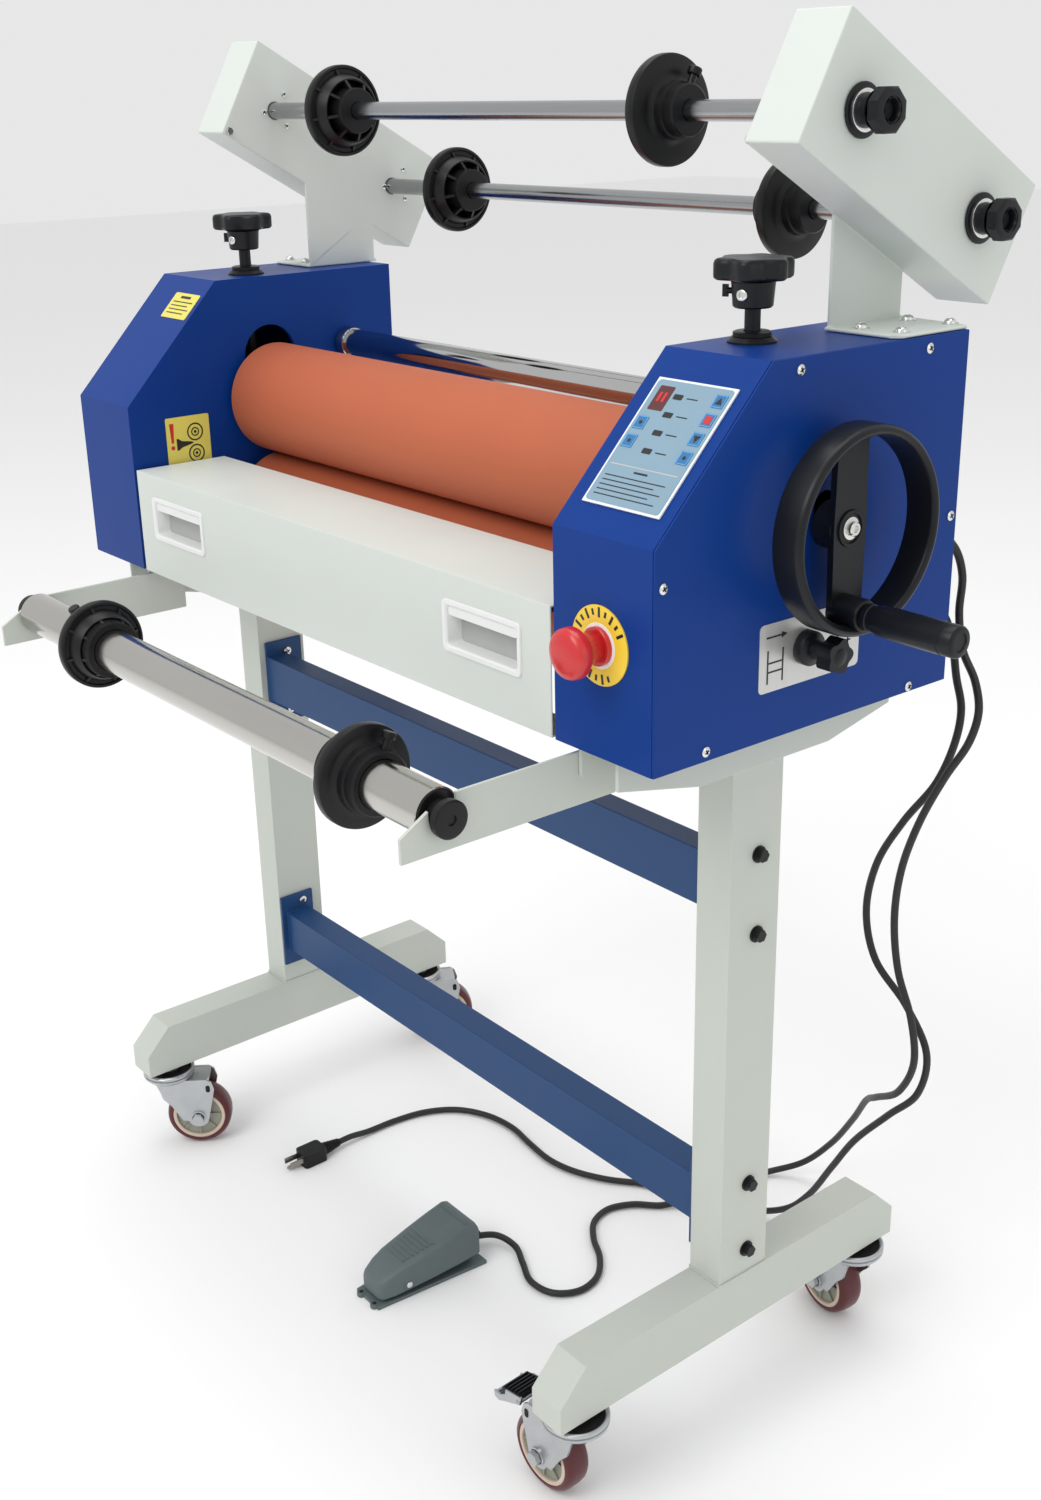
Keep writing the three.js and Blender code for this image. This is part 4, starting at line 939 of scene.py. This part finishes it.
def make_handwheel():
    radius = extent("handwheel").z * 500
    back, front = 459, 486
    axis = axle("upper_roller_rubber")
    build = Build()
    rim = [(back, radius - 3), (back + 0.6, radius - 1), (back + 2, radius), (front - 5, radius),
           (front - 2.4, radius - 0.7), (front - 0.6, radius - 2.2), (front, radius - 3.6),
           (front - 0.2, radius - 5.4), (front - 1.6, radius - 7.2), (front - 4, radius - 8),
           (back + 1, radius - 8), (back, radius - 7)]
    build.turned(rim, axis, 128, closed=True)
    plane = flat_on(Vector((CENTRE_PLANE + back * MM, UPPER_AXIS.y, UPPER_AXIS.z)), Y_AXIS, Z_AXIS)
    reach = radius - 7.5
    spoke = [(-16, -reach + 1.5), (-12, -reach), (12, -reach), (16, -reach + 1.5), (17, -20), (17.6, 0),
             (17, 20),
             (16, reach - 1.5), (12, reach), (-12, reach), (-16, reach - 1.5), (-17, 20), (-17.6, 0),
             (-17, -20)]
    build.prism(spoke, 5.6, plane, base=0.2, bevel=1.3, steps=3)
    build.turned([(443, 0), (443, 16.6), (444.4, 18), (461.2, 18), (462, 17)], axis, 64)
    build.turned([(464.6, 14), (466.2, 13.4), (466.4, 12.6), (466.2, 11.2), (465.0, 10.6), (465.0, 0)],
                 axis, 56)
    build.slot = 1
    build.turned([(465.0, 8.4), (466.0, 8.4), (466.2, 7.8), (466.2, 0)], axis, 40)
    build.turned([(466.2, 5.6), (469.6, 5.4), (470.2, 4.6), (470.2, 2.8), (468.6, 2.6), (468.6, 0)], axis, 32)
    build.slot = 0
    boss = frame_along(X_AXIS, Vector((CENTRE_PLANE, middle("crank_handle").y, middle("crank_handle").z)))
    build.turned([(460, 0), (460, 13.6), (466, 13), (484, 12.6), (486.2, 11.8), (487, 10.4), (487, 0)],
                 boss, 48)
    wheel = build.done("handwheel_casting", [SATIN, SCREW], "upper_roller", 34)
    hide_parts("handwheel")
    tip = ends("crank_handle")[1]
    grip = Build()
    grip.turned([(465, 0), (465, 5), (488, 5), (488, 9.6), (488.8, 10.4), (493, 10.6), (494, 9.8),
                 (496, 10.0),
                 (501, 11.3), (510, 11.8), (tip - 13, 12), (tip - 12.4, 11.3), (tip - 11.4, 11.3),
                 (tip - 10.8, 12), (tip - 1.8, 11.9), (tip - 0.6, 11.2), (tip, 10.2), (tip, 7.0),
                 (tip - 0.9, 6.6), (tip - 0.9, 0)], boss, 64)
    handle = grip.done("crank_grip_moulding", SATIN, "crank_grip", 34)
    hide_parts("crank_handle")


def make_pressure_knob(side):
    """A six-lobed grip with a domed top over a hub with two screws, on a slim spindle."""
    node = f"pressure_knob_{side}"
    centre = middle(node)
    top = high(node).z * 1000
    bottom = low(node).z * 1000
    place = Matrix.Translation((centre.x, centre.y, 0))
    build = Build()
    star_rings(build, place, top)
    build.turned([(top - 16.2, 15), (top - 17.4, 16.6), (top - 20, 16.2), (1013.2, 15), (1012, 13.6),
                  (1012, 6),
                  (bottom + 1, 6), (bottom, 5), (bottom, 0)], place, 48)
    build.slot = 1
    set_screw = frame_along((0.25, -1, 0), Vector((centre.x, centre.y, 1.022)))
    build.turned([(14.6, 4.4), (16.8, 4.4), (17.4, 3.6), (17.4, 2.2), (16.4, 2.0), (16.4, 0)], set_screw, 28)
    wing = frame_along((-0.9, -0.45, 0), Vector((centre.x, centre.y, 1.0235)))
    build.slot = 0
    build.turned([(13, 2.3), (20, 2.3), (20.4, 1.6), (20.4, 0)], wing, 18)
    build.block((1.8, 9.0, 4.6), wing @ local(0, 0, 21.2), bevel=0.7)
    grip = build.done(f"pressure_grip_{side}", [SATIN, SCREW], node, 40)
    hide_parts(node)
    seat = Build()
    face = COVER_HIGH.z * 1000
    seat.turned([(face + 4.1, 7), (face + 4.1, 13), (face + 4.6, 14.4), (face + 7.6, 14.4),
                 (face + 8.4, 12.6),
                 (face + 8.4, 7)], place, 40)
    seat.turned([(face + 0.2, 15.4), (face + 0.2, 18.6), (face + 1.4, 18.6), (face + 2.2, 17.8),
                 (face + 4.3, 15.6),
                 (face + 4.3, 14)], place, 48)
    seat.done(f"spindle_seat_{side}", BLACK, ROOT, 40)


def star_rings(build, place, top):
    """The lobed grip as stacked rings, rounded at both edges and slightly domed."""
    layers = ((-16, 0.80), (-15.6, 0.93), (-14.2, 0.99), (-12, 1.0), (-4.0, 1.0), (-1.8, 0.975), (-0.6, 0.92),
              (-0.1, 0.80), (0.0, 0.52), (-0.4, 0.38), (-0.5, 0.2))
    count = 96
    rings = []
    for lift, scale in layers:
        ring = []
        for i in range(count):
            angle = 2 * math.pi * i / count
            radius = (27.5 + 2.8 * math.cos(6 * angle)) * scale
            point = Vector((radius * math.cos(angle), radius * math.sin(angle), top + lift)) * MM
            ring.append(build.mesh.verts.new(place @ point))
        rings.append(ring)
    for lower, upper in zip(rings, rings[1:]):
        build.bridge(lower, upper, count)
    build.take([build.mesh.faces.new(list(reversed(rings[0]))), build.mesh.faces.new(rings[-1])])


# ---- unwind shafts over the machine ----
def dress_brackets():
    for side in SIDES:
        dress(f"unwind_bracket_{side}", WHITE, 1.6)


def bracket_screws():
    """Small screws round each shaft on the brackets' inner plates, and dome bolts on their feet."""
    near_shafts = ((-47, 1145), (-21, 1131), (-22, 1162), (124, 1082), (98, 1065), (125, 1051))
    feet = ((392, 7), (428, 10), (388, 66), (425, 71))
    for side, sign in SIDES.items():
        node = f"unwind_bracket_{side}"
        inner = low(node).x if sign > 0 else high(node).x
        build = Build()
        for y, z in near_shafts:
            place = spot(0, y, z)
            pan_screw(build, frame_along(-X_AXIS * sign, Vector((inner, place.y, place.z))), 2.9, 1.5)
        place = spot(0, -90, 1128)
        hex_bolt(build, frame_along(-X_AXIS * sign, Vector((inner, place.y, place.z))), 6.0, 2.6, 3.8)
        plate = low(node).z + 0.003
        for x, y in feet:
            place = spot(x * sign, y, 0)
            dome = Matrix.Translation((place.x, place.y, plate))
            build.turned([(0, 6.6), (0.8, 6.6), (0.9, 4.9), (2.0, 4.8), (3.4, 3.8), (4.2, 2.2), (4.3, 1.9),
                          (3.4, 1.7), (3.4, 0)], dome, 32)
        build.done(f"bracket_screws_{side}", [SCREW, PAINTED_SHADE_BLACK], ROOT, 40)


def make_unwind_shafts():
    for which in ("front", "back"):
        node = f"unwind_shaft_{which}"
        axis = axle(node)
        left, right = ends(node)
        build = Build()
        build.turned([(left, 0), (left, 7.2), (left + 0.8, 8), (right - 0.8, 8), (right, 7.2), (right, 0)],
                     axis, 56)
        shaft = build.done(f"unwind_rod_{which}", TURNED, node, 34)
        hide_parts(node)


def make_chuck(name, node, facing, bore, hub):
    """A moulded core chuck: ribbed disc, stepped cone towards the roll, hub with a thumb screw."""
    left, right = ends(node)
    start = left + 20 if facing > 0 else -(right - 20)
    centre = middle(node)
    disc = Vector((CENTRE_PLANE, centre.y, centre.z)) + X_AXIS * facing * start * MM
    axis = frame_along(X_AXIS * facing, disc)
    build = Build()
    drum = 34.5
    core = hub + 2
    shell = [(-20, bore), (-20, hub - 1.2), (-19, hub), (-9, hub), (-8.4, hub + 1.6), (-2.6, hub + 2.2),
             (-0.6, hub + 5),
             (0, hub + 8), (0, 40.2), (0.8, 41.6), (2.2, 42), (8.0, 42), (9.2, 41.4), (9.6, 40.2), (9.6, 39),
             (8.4, 38), (8.4, drum), (20.6, drum - 4.4), (21.4, drum - 5.2), (21.0, drum - 6.6),
             (8, drum - 4.2),
             (8, core + 0.6), (26, core - 1), (31.4, core - 1.2), (32, core - 2), (32, bore)]
    build.turned(shell, axis, 96)
    for i in range(8):
        spun = axis @ Matrix.Rotation(i * math.pi / 4 + 0.2, 4, "Z")
        plane = spun @ Matrix.Rotation(math.pi / 2, 4, "X")
        rib = [(core - 1.6, 7.6), (drum - 3.6, 7.6), (drum - 5.4, 20.6), (core - 1.8, 28)]
        build.prism(rib, 2.6, plane, base=-1.3, bevel=0.4)
        lug = [(drum - 1.2, 8.2), (38.4, 8.2), (38.4, 9.0), (drum - 3.2, 13.5)]
        build.prism(lug, 2.4, plane, base=-1.2)
    thumb = axis @ local(0, 0, -11) @ Matrix.Rotation(math.radians(115), 4, "Z") @ frame_along((1, 0, 0),
                                                                                               (0, 0, 0))
    build.turned([(hub - 2, 3.0), (hub + 8, 3.0), (hub + 8.2, 5.2), (hub + 9, 5.6), (hub + 13, 5.6),
                  (hub + 13.8, 5.0),
                  (hub + 13.8, 0)], thumb, 24)
    piece = build.done(name, BLACK, node, 36)
    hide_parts(node)


def make_chucks():
    for which in ("front", "back"):
        make_chuck(f"core_chuck_{which}_left", f"chuck_{which}_left", 1, 8.4, 20)
        make_chuck(f"core_chuck_{which}_right", f"chuck_{which}_right", -1, 8.4, 20)
    make_chuck("tube_chuck_left", "roll_chuck_left", 1, 20.4, 26)
    make_chuck("tube_chuck_right", "roll_chuck_right", -1, 20.4, 26)


def make_tension_knob(which):
    """A flange with a pale washer, a neck and an eight-sided head with a round recess."""
    node = f"tension_knob_{which}"
    axis = axle(node)
    start, tip = ends(node)
    build = Build()
    build.turned([(start, 8.3), (start, 18), (start + 0.8, 19), (start + 2.0, 19), (start + 2.7, 18),
                  (start + 2.7, 12),
                  (start + 9, 11.4), (start + 13.6, 12), (start + 14.2, 14)], axis, 56)
    head = axis @ Matrix.Rotation(math.pi / 8, 4, "Z")
    build.turned([(start + 14.2, 11.6), (tip - 11.4, 11.4), (tip - 10.8, 15.4), (tip - 9.6, 16.6),
                  (tip - 1.6, 16.6),
                  (tip - 0.3, 15.4), (tip, 14.2), (tip, 8.9)], head, 8)
    build.turned([(tip, 9.4), (tip, 8.2), (tip - 0.8, 7.6), (tip - 6.5, 7.2)], axis, 36)
    # The bottom of the round recess is near-black: painted shade in the recess.
    build.slot = 2
    build.turned([(tip - 6.5, 7.3), (tip - 6.5, 0)], axis, 36)
    build.slot = 1
    build.turned([(start + 2.7, 12), (start + 2.7, 14.6), (start + 4.3, 14.6), (start + 4.7, 14.0),
                  (start + 4.7, 12)],
                 axis, 48)
    knob = build.done(f"tension_grip_{which}", [SATIN, SCREW, PAINTED_SHADE_BLACK], node, 36)
    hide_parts(node)


# ---- take-up roll in front ----
def make_roll_tube():
    axis = axle("roll_tube")
    end = ends("roll_tube")[1]
    half = end - 18
    build = Build()
    build.turned([(-half, 12), (-half, 19.2), (-half + 0.8, 20), (half - 0.8, 20), (half, 19.2),
                  (half, 12)], axis, 96)
    build.slot = 1
    for sign in (-1, 1):
        cap = [(half + 0.1, 19.0), (half + 0.6, 19.0), (half + 1.4, 18.0), (half + 1.4, 12),
               (end - 8, 11.8), (end - 7.6, 14),
               (end - 6.8, 15), (end - 1.2, 15), (end - 0.2, 14), (end, 12.6), (end, 4.2), (end - 1.4, 3.6),
               (end - 1.4, 0)]
        build.turned([(sign * s, r) for s, r in cap], axis, 56)
    tube = build.done("take_up_tube", [TUBE, BLACK], "roll_tube", 34)
    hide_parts("roll_tube")


# ---- foot pedal ----
PEDAL_X = 27
PEDAL_TOE = -254
PEDAL_PIVOT = -222
PEDAL_HEEL = -134
TOE_HALF = 18
HEEL_HALF = 30
SOLE_LOW = 38  # height of the foot plate at its toe end
SOLE_HIGH = 44.6  # and where the heel begins
HEEL_TOP = 53.6


def half_width(y, toe_half, heel_half):
    share = (y - PEDAL_TOE) / (PEDAL_HEEL - PEDAL_TOE)
    return toe_half + (heel_half - toe_half) * share


def make_treadle():
    """A cast cover, narrow at the toe, with cross ridges over the foot plate and a raised heel."""
    build = Build()
    stations = []
    profile = (
        (PEDAL_TOE, 8, 23, 5.5), (PEDAL_TOE + 1.6, 7.6, 25.6, 2.4), (PEDAL_TOE + 4, 7.4, 27.6, 0.6),
        (PEDAL_TOE + 16, 8.4, 33.4, -1.6), (PEDAL_TOE + 30, 9.6, SOLE_LOW, -2.4),
        (PEDAL_HEEL - 56, 12, SOLE_HIGH, -2.4), (PEDAL_HEEL - 30, 13.6, 49.6, -1.4),
        (PEDAL_HEEL - 8, 15.4, HEEL_TOP, 0), (PEDAL_HEEL - 2.5, 15.8, 52, 0.4), (PEDAL_HEEL, 16, 48, 1.6),
    )
    for y, bottom, top, inset in profile:
        width = half_width(y, TOE_HALF, HEEL_HALF) - inset
        half = [(width, bottom), (width, top - 6), (width - 1.6, top - 2), (width - 5.5, top)]
        stations.append((y, [(-x, z) for x, z in half] + half[::-1]))
    rings = []
    for y, section in stations:
        rings.append([build.mesh.verts.new(spot(PEDAL_X + x, y, z)) for x, z in section])
    for first, second in zip(rings, rings[1:]):
        faces = []
        for i in range(len(first) - 1):
            faces.append(build.mesh.faces.new([first[i], first[i + 1], second[i + 1], second[i]]))
        build.take(faces)
    build.take([build.mesh.faces.new(rings[0]), build.mesh.faces.new(list(reversed(rings[-1])))])
    slope = math.atan2(SOLE_HIGH - SOLE_LOW, PEDAL_HEEL - 56 - PEDAL_TOE - 30)
    for i in range(7):
        y = PEDAL_TOE + 33 + 5.6 * i
        z = SOLE_LOW + (y - PEDAL_TOE - 30) * math.tan(slope)
        width = half_width(y, TOE_HALF, HEEL_HALF) * 2 - 14
        place = Matrix.Translation(spot(PEDAL_X, y, z + 0.3)) @ Matrix.Rotation(slope, 4, "X")
        build.block((width, 2.2, 1.8), place, bevel=0.6)
    for offset in (-52, -12):
        top = SOLE_HIGH + (offset + 56) * (HEEL_TOP - SOLE_HIGH) / 48
        edge = Matrix.Translation(spot(PEDAL_X, PEDAL_HEEL + offset, top)) @ Matrix.Rotation(slope, 4, "X")
        width = half_width(PEDAL_HEEL + offset, TOE_HALF, HEEL_HALF) * 2 - 12
        build.block((width, 2.2, 1.8), edge, bevel=0.5)
    for side in (-1, 1):
        pin = spot(PEDAL_X + side * (half_width(PEDAL_PIVOT, TOE_HALF, HEEL_HALF) + 2), PEDAL_PIVOT, 16)
        place = frame_along(X_AXIS * side, pin)
        build.slot = 0
        build.turned([(-1, 6.2), (0.6, 6.2), (1.0, 5.6), (1.0, 3.6)], place, 28)
        build.slot = 1
        build.turned([(0.6, 3.6), (1.8, 3.4), (2.2, 2.6), (2.2, 0)], place, 24)
    treadle = build.done("pedal_cover", [PEDAL, SCREW], "pedal_treadle", 30)
    softened = treadle.modifiers.new("rounding", "BEVEL")
    softened.width = 0.9 * MM
    softened.segments = 2
    softened.limit_method = "ANGLE"
    softened.angle_limit = math.radians(24)
    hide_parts("pedal_treadle")


def make_pedal_base():
    build = Build()
    outline = []
    for y, side in ((PEDAL_TOE - 5, -1), (PEDAL_TOE - 5, 1), (PEDAL_HEEL + 6, 1), (PEDAL_HEEL + 6, -1)):
        outline.append((PEDAL_X + side * half_width(y, 20, 31.4), y))
    flat = Matrix.Translation(OFFSET)
    build.prism(outline, 3.8, flat, base=0.0, bevel=1.4, steps=3)
    inner = []
    for y, side in ((PEDAL_TOE + 20, -1), (PEDAL_TOE + 20, 1), (PEDAL_HEEL - 6, 1), (PEDAL_HEEL - 6, -1)):
        inner.append((PEDAL_X + side * half_width(y, 11, 20), y))
    build.prism(inner, 10, flat, base=3.6)
    build.block((20, 11, 20.6), Matrix.Translation(spot(PEDAL_X, PEDAL_HEEL - 5, 13.6)), bevel=1.2)
    for side in (-1, 1):
        ear = Matrix.Translation(spot(PEDAL_X + side * 12, PEDAL_TOE - 4.4, 0))
        build.prism(rounded(9, 9, 4.2), 4.4, ear, bevel=0.8)
    # Near-black discs on the ears: painted shade standing in for screw holes.
    build.slot = 1
    for side in (-1, 1):
        build.prism(circle(2.3, 20), 0.3, Matrix.Translation(spot(PEDAL_X + side * 12, PEDAL_TOE - 4.4, 4.3)))
    collar = frame_along(Y_AXIS, spot(PEDAL_X, PEDAL_HEEL + 1, 12))
    build.slot = 2
    build.turned([(0, 7.6), (3, 7.6), (3.6, 6.6), (20, 4.2), (20, 3.4)], collar, 28)
    base = build.done("pedal_foot", [PEDAL, PAINTED_SHADE_BLACK, BLACK], ROOT, 36)
    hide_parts("pedal_base")


# ---- plates and labels without lettering ----
def notice_plate():
    """A yellow notice on the left housing's slope, with a heading bar and plain lines."""
    slope = panel_frame()
    right = Vector((1, 0, 0))
    up = Vector((slope[0][1], slope[1][1], slope[2][1]))
    out = Vector((slope[0][2], slope[1][2], slope[2][2]))
    centre = middle("control_panel") + up * 0.046
    centre.x = CENTRE_PLANE - 0.363
    place = flat_on(centre - out * 0.0004, right, up)
    build = Build()
    build.prism(rounded(50, 31, 2), 0.35, place, base=-0.3)
    build.slot = 1
    build.prism(rounded(20, 3.0, 0.5, y=10.5), 0.12, place, base=0.05)
    for i in range(4):
        build.prism(rounded(39 - 6 * (i % 2), 1.2, 0.3, x=-3 * (i % 2), y=4.6 - 4.6 * i), 0.12, place,
                    base=0.05)
    build.done("notice_left", [PALE_YELLOW, INK], ROOT, 40)


def pinch_sign():
    """A yellow sign on the left housing's inner face: two rollers, a hand-like bar and a red stroke."""
    centre = spot(-332, -185, 828)
    centre.x = CENTRE_PLANE - 0.332 + 0.0003
    place = flat_on(centre, Y_AXIS, Z_AXIS)
    build = Build()
    build.prism(rounded(50, 56, 2), 0.35, place)
    build.slot = 1
    for y in (11, -11):
        for radius, width in ((9.2, 1.5), (4.6, 1.3)):
            build.turned([(0.36, radius), (0.5, radius), (0.5, radius - width), (0.36, radius - width)],
                         place @ local(8, y, 0), 36, closed=True)
        build.turned([(0.36, 1.6), (0.5, 1.6), (0.5, 0)], place @ local(8, y, 0), 20)
    bar = [(-8, -3.4), (2, -1.2), (5, -0.2), (5, 0.8), (2, 1.6), (-8, 3.2), (-12, 6), (-14, 6), (-14, -6),
           (-12, -6)]
    build.prism(bar, 0.15, place, base=0.35)
    build.slot = 2
    build.prism([(-21, 22), (-16, 22), (-17.2, 2), (-19.8, 2)], 0.15, place, base=0.35)
    build.prism(circle(2.2, 20, x=-18.5, y=-2.8), 0.15, place, base=0.35)
    build.done("pinch_sign_left", [PALE_YELLOW, INK, RED_INK], ROOT, 40)


def clutch_plate():
    """A silver plate on the right cover: an arrow over two plain roller diagrams, either side of the knob."""
    centre = spot(440, -90, 771)
    place = flat_on(Vector((COVER_HIGH.x + 0.00005, centre.y, centre.z)), Y_AXIS, Z_AXIS)
    build = Build()
    build.prism(rounded(110, 53, 4), 0.5, place, bevel=0.15)
    build.slot = 1
    for side in (-1, 1):
        x = side * 38
        build.prism(rounded(16, 1.4, 0.3, x=x - 2, y=16), 0.12, place, base=0.5)
        if side < 0:
            head = [(x + 6, 13.4), (x + 12, 16), (x + 6, 18.6)]
        else:
            head = [(x - 8, 13.4), (x - 8, 18.6), (x - 14, 16)]
        build.prism(head, 0.12, place, base=0.5)
        for dx, wide, tall in ((-8, 1.6, 26), (8 if side < 0 else 4, 1.6, 26)):
            build.prism(rounded(wide, tall, 0.4, x=x + dx, y=-7), 0.12, place, base=0.5)
        build.prism(rounded(14, 1.4, 0.3, x=x, y=-4), 0.12, place, base=0.5)
        build.prism(rounded(14, 1.4, 0.3, x=x, y=-11), 0.12, place, base=0.5)
    build.done("clutch_plate", [PLATE, INK], ROOT, 40)


def rear_details():
    """A ventilation grille on the right housing's back, drawn as near-black slots: painted shade where the
    openings are.
    """
    back = COVER_HIGH.y
    centre = spot(386, 76, 900)
    place = flat_on(Vector((centre.x, back + 0.0002, centre.z)), -X_AXIS, Z_AXIS)
    build = Build()
    for i in range(7):
        build.prism(rounded(58, 3.2, 1.5, y=-21 + 7 * i), 0.4, place, base=0.0, bevel=0.1)
    build.done("rear_vent_slots", PAINTED_SHADE_BLACK, ROOT, 40)


for level in ("upper", "lower"):
    make_roller(level)
make_bearings()
make_guide_bar()
make_table()
make_panel()
make_stop()
make_clutch()
make_handwheel()
for side in SIDES:
    make_pressure_knob(side)
dress_brackets()
bracket_screws()
make_unwind_shafts()
make_chucks()
for which in ("front", "back"):
    make_tension_knob(which)
make_roll_tube()
make_treadle()
make_pedal_base()
notice_plate()
pinch_sign()
clutch_plate()
rear_details()
dress("drive_motor", TURNED, 0.8)
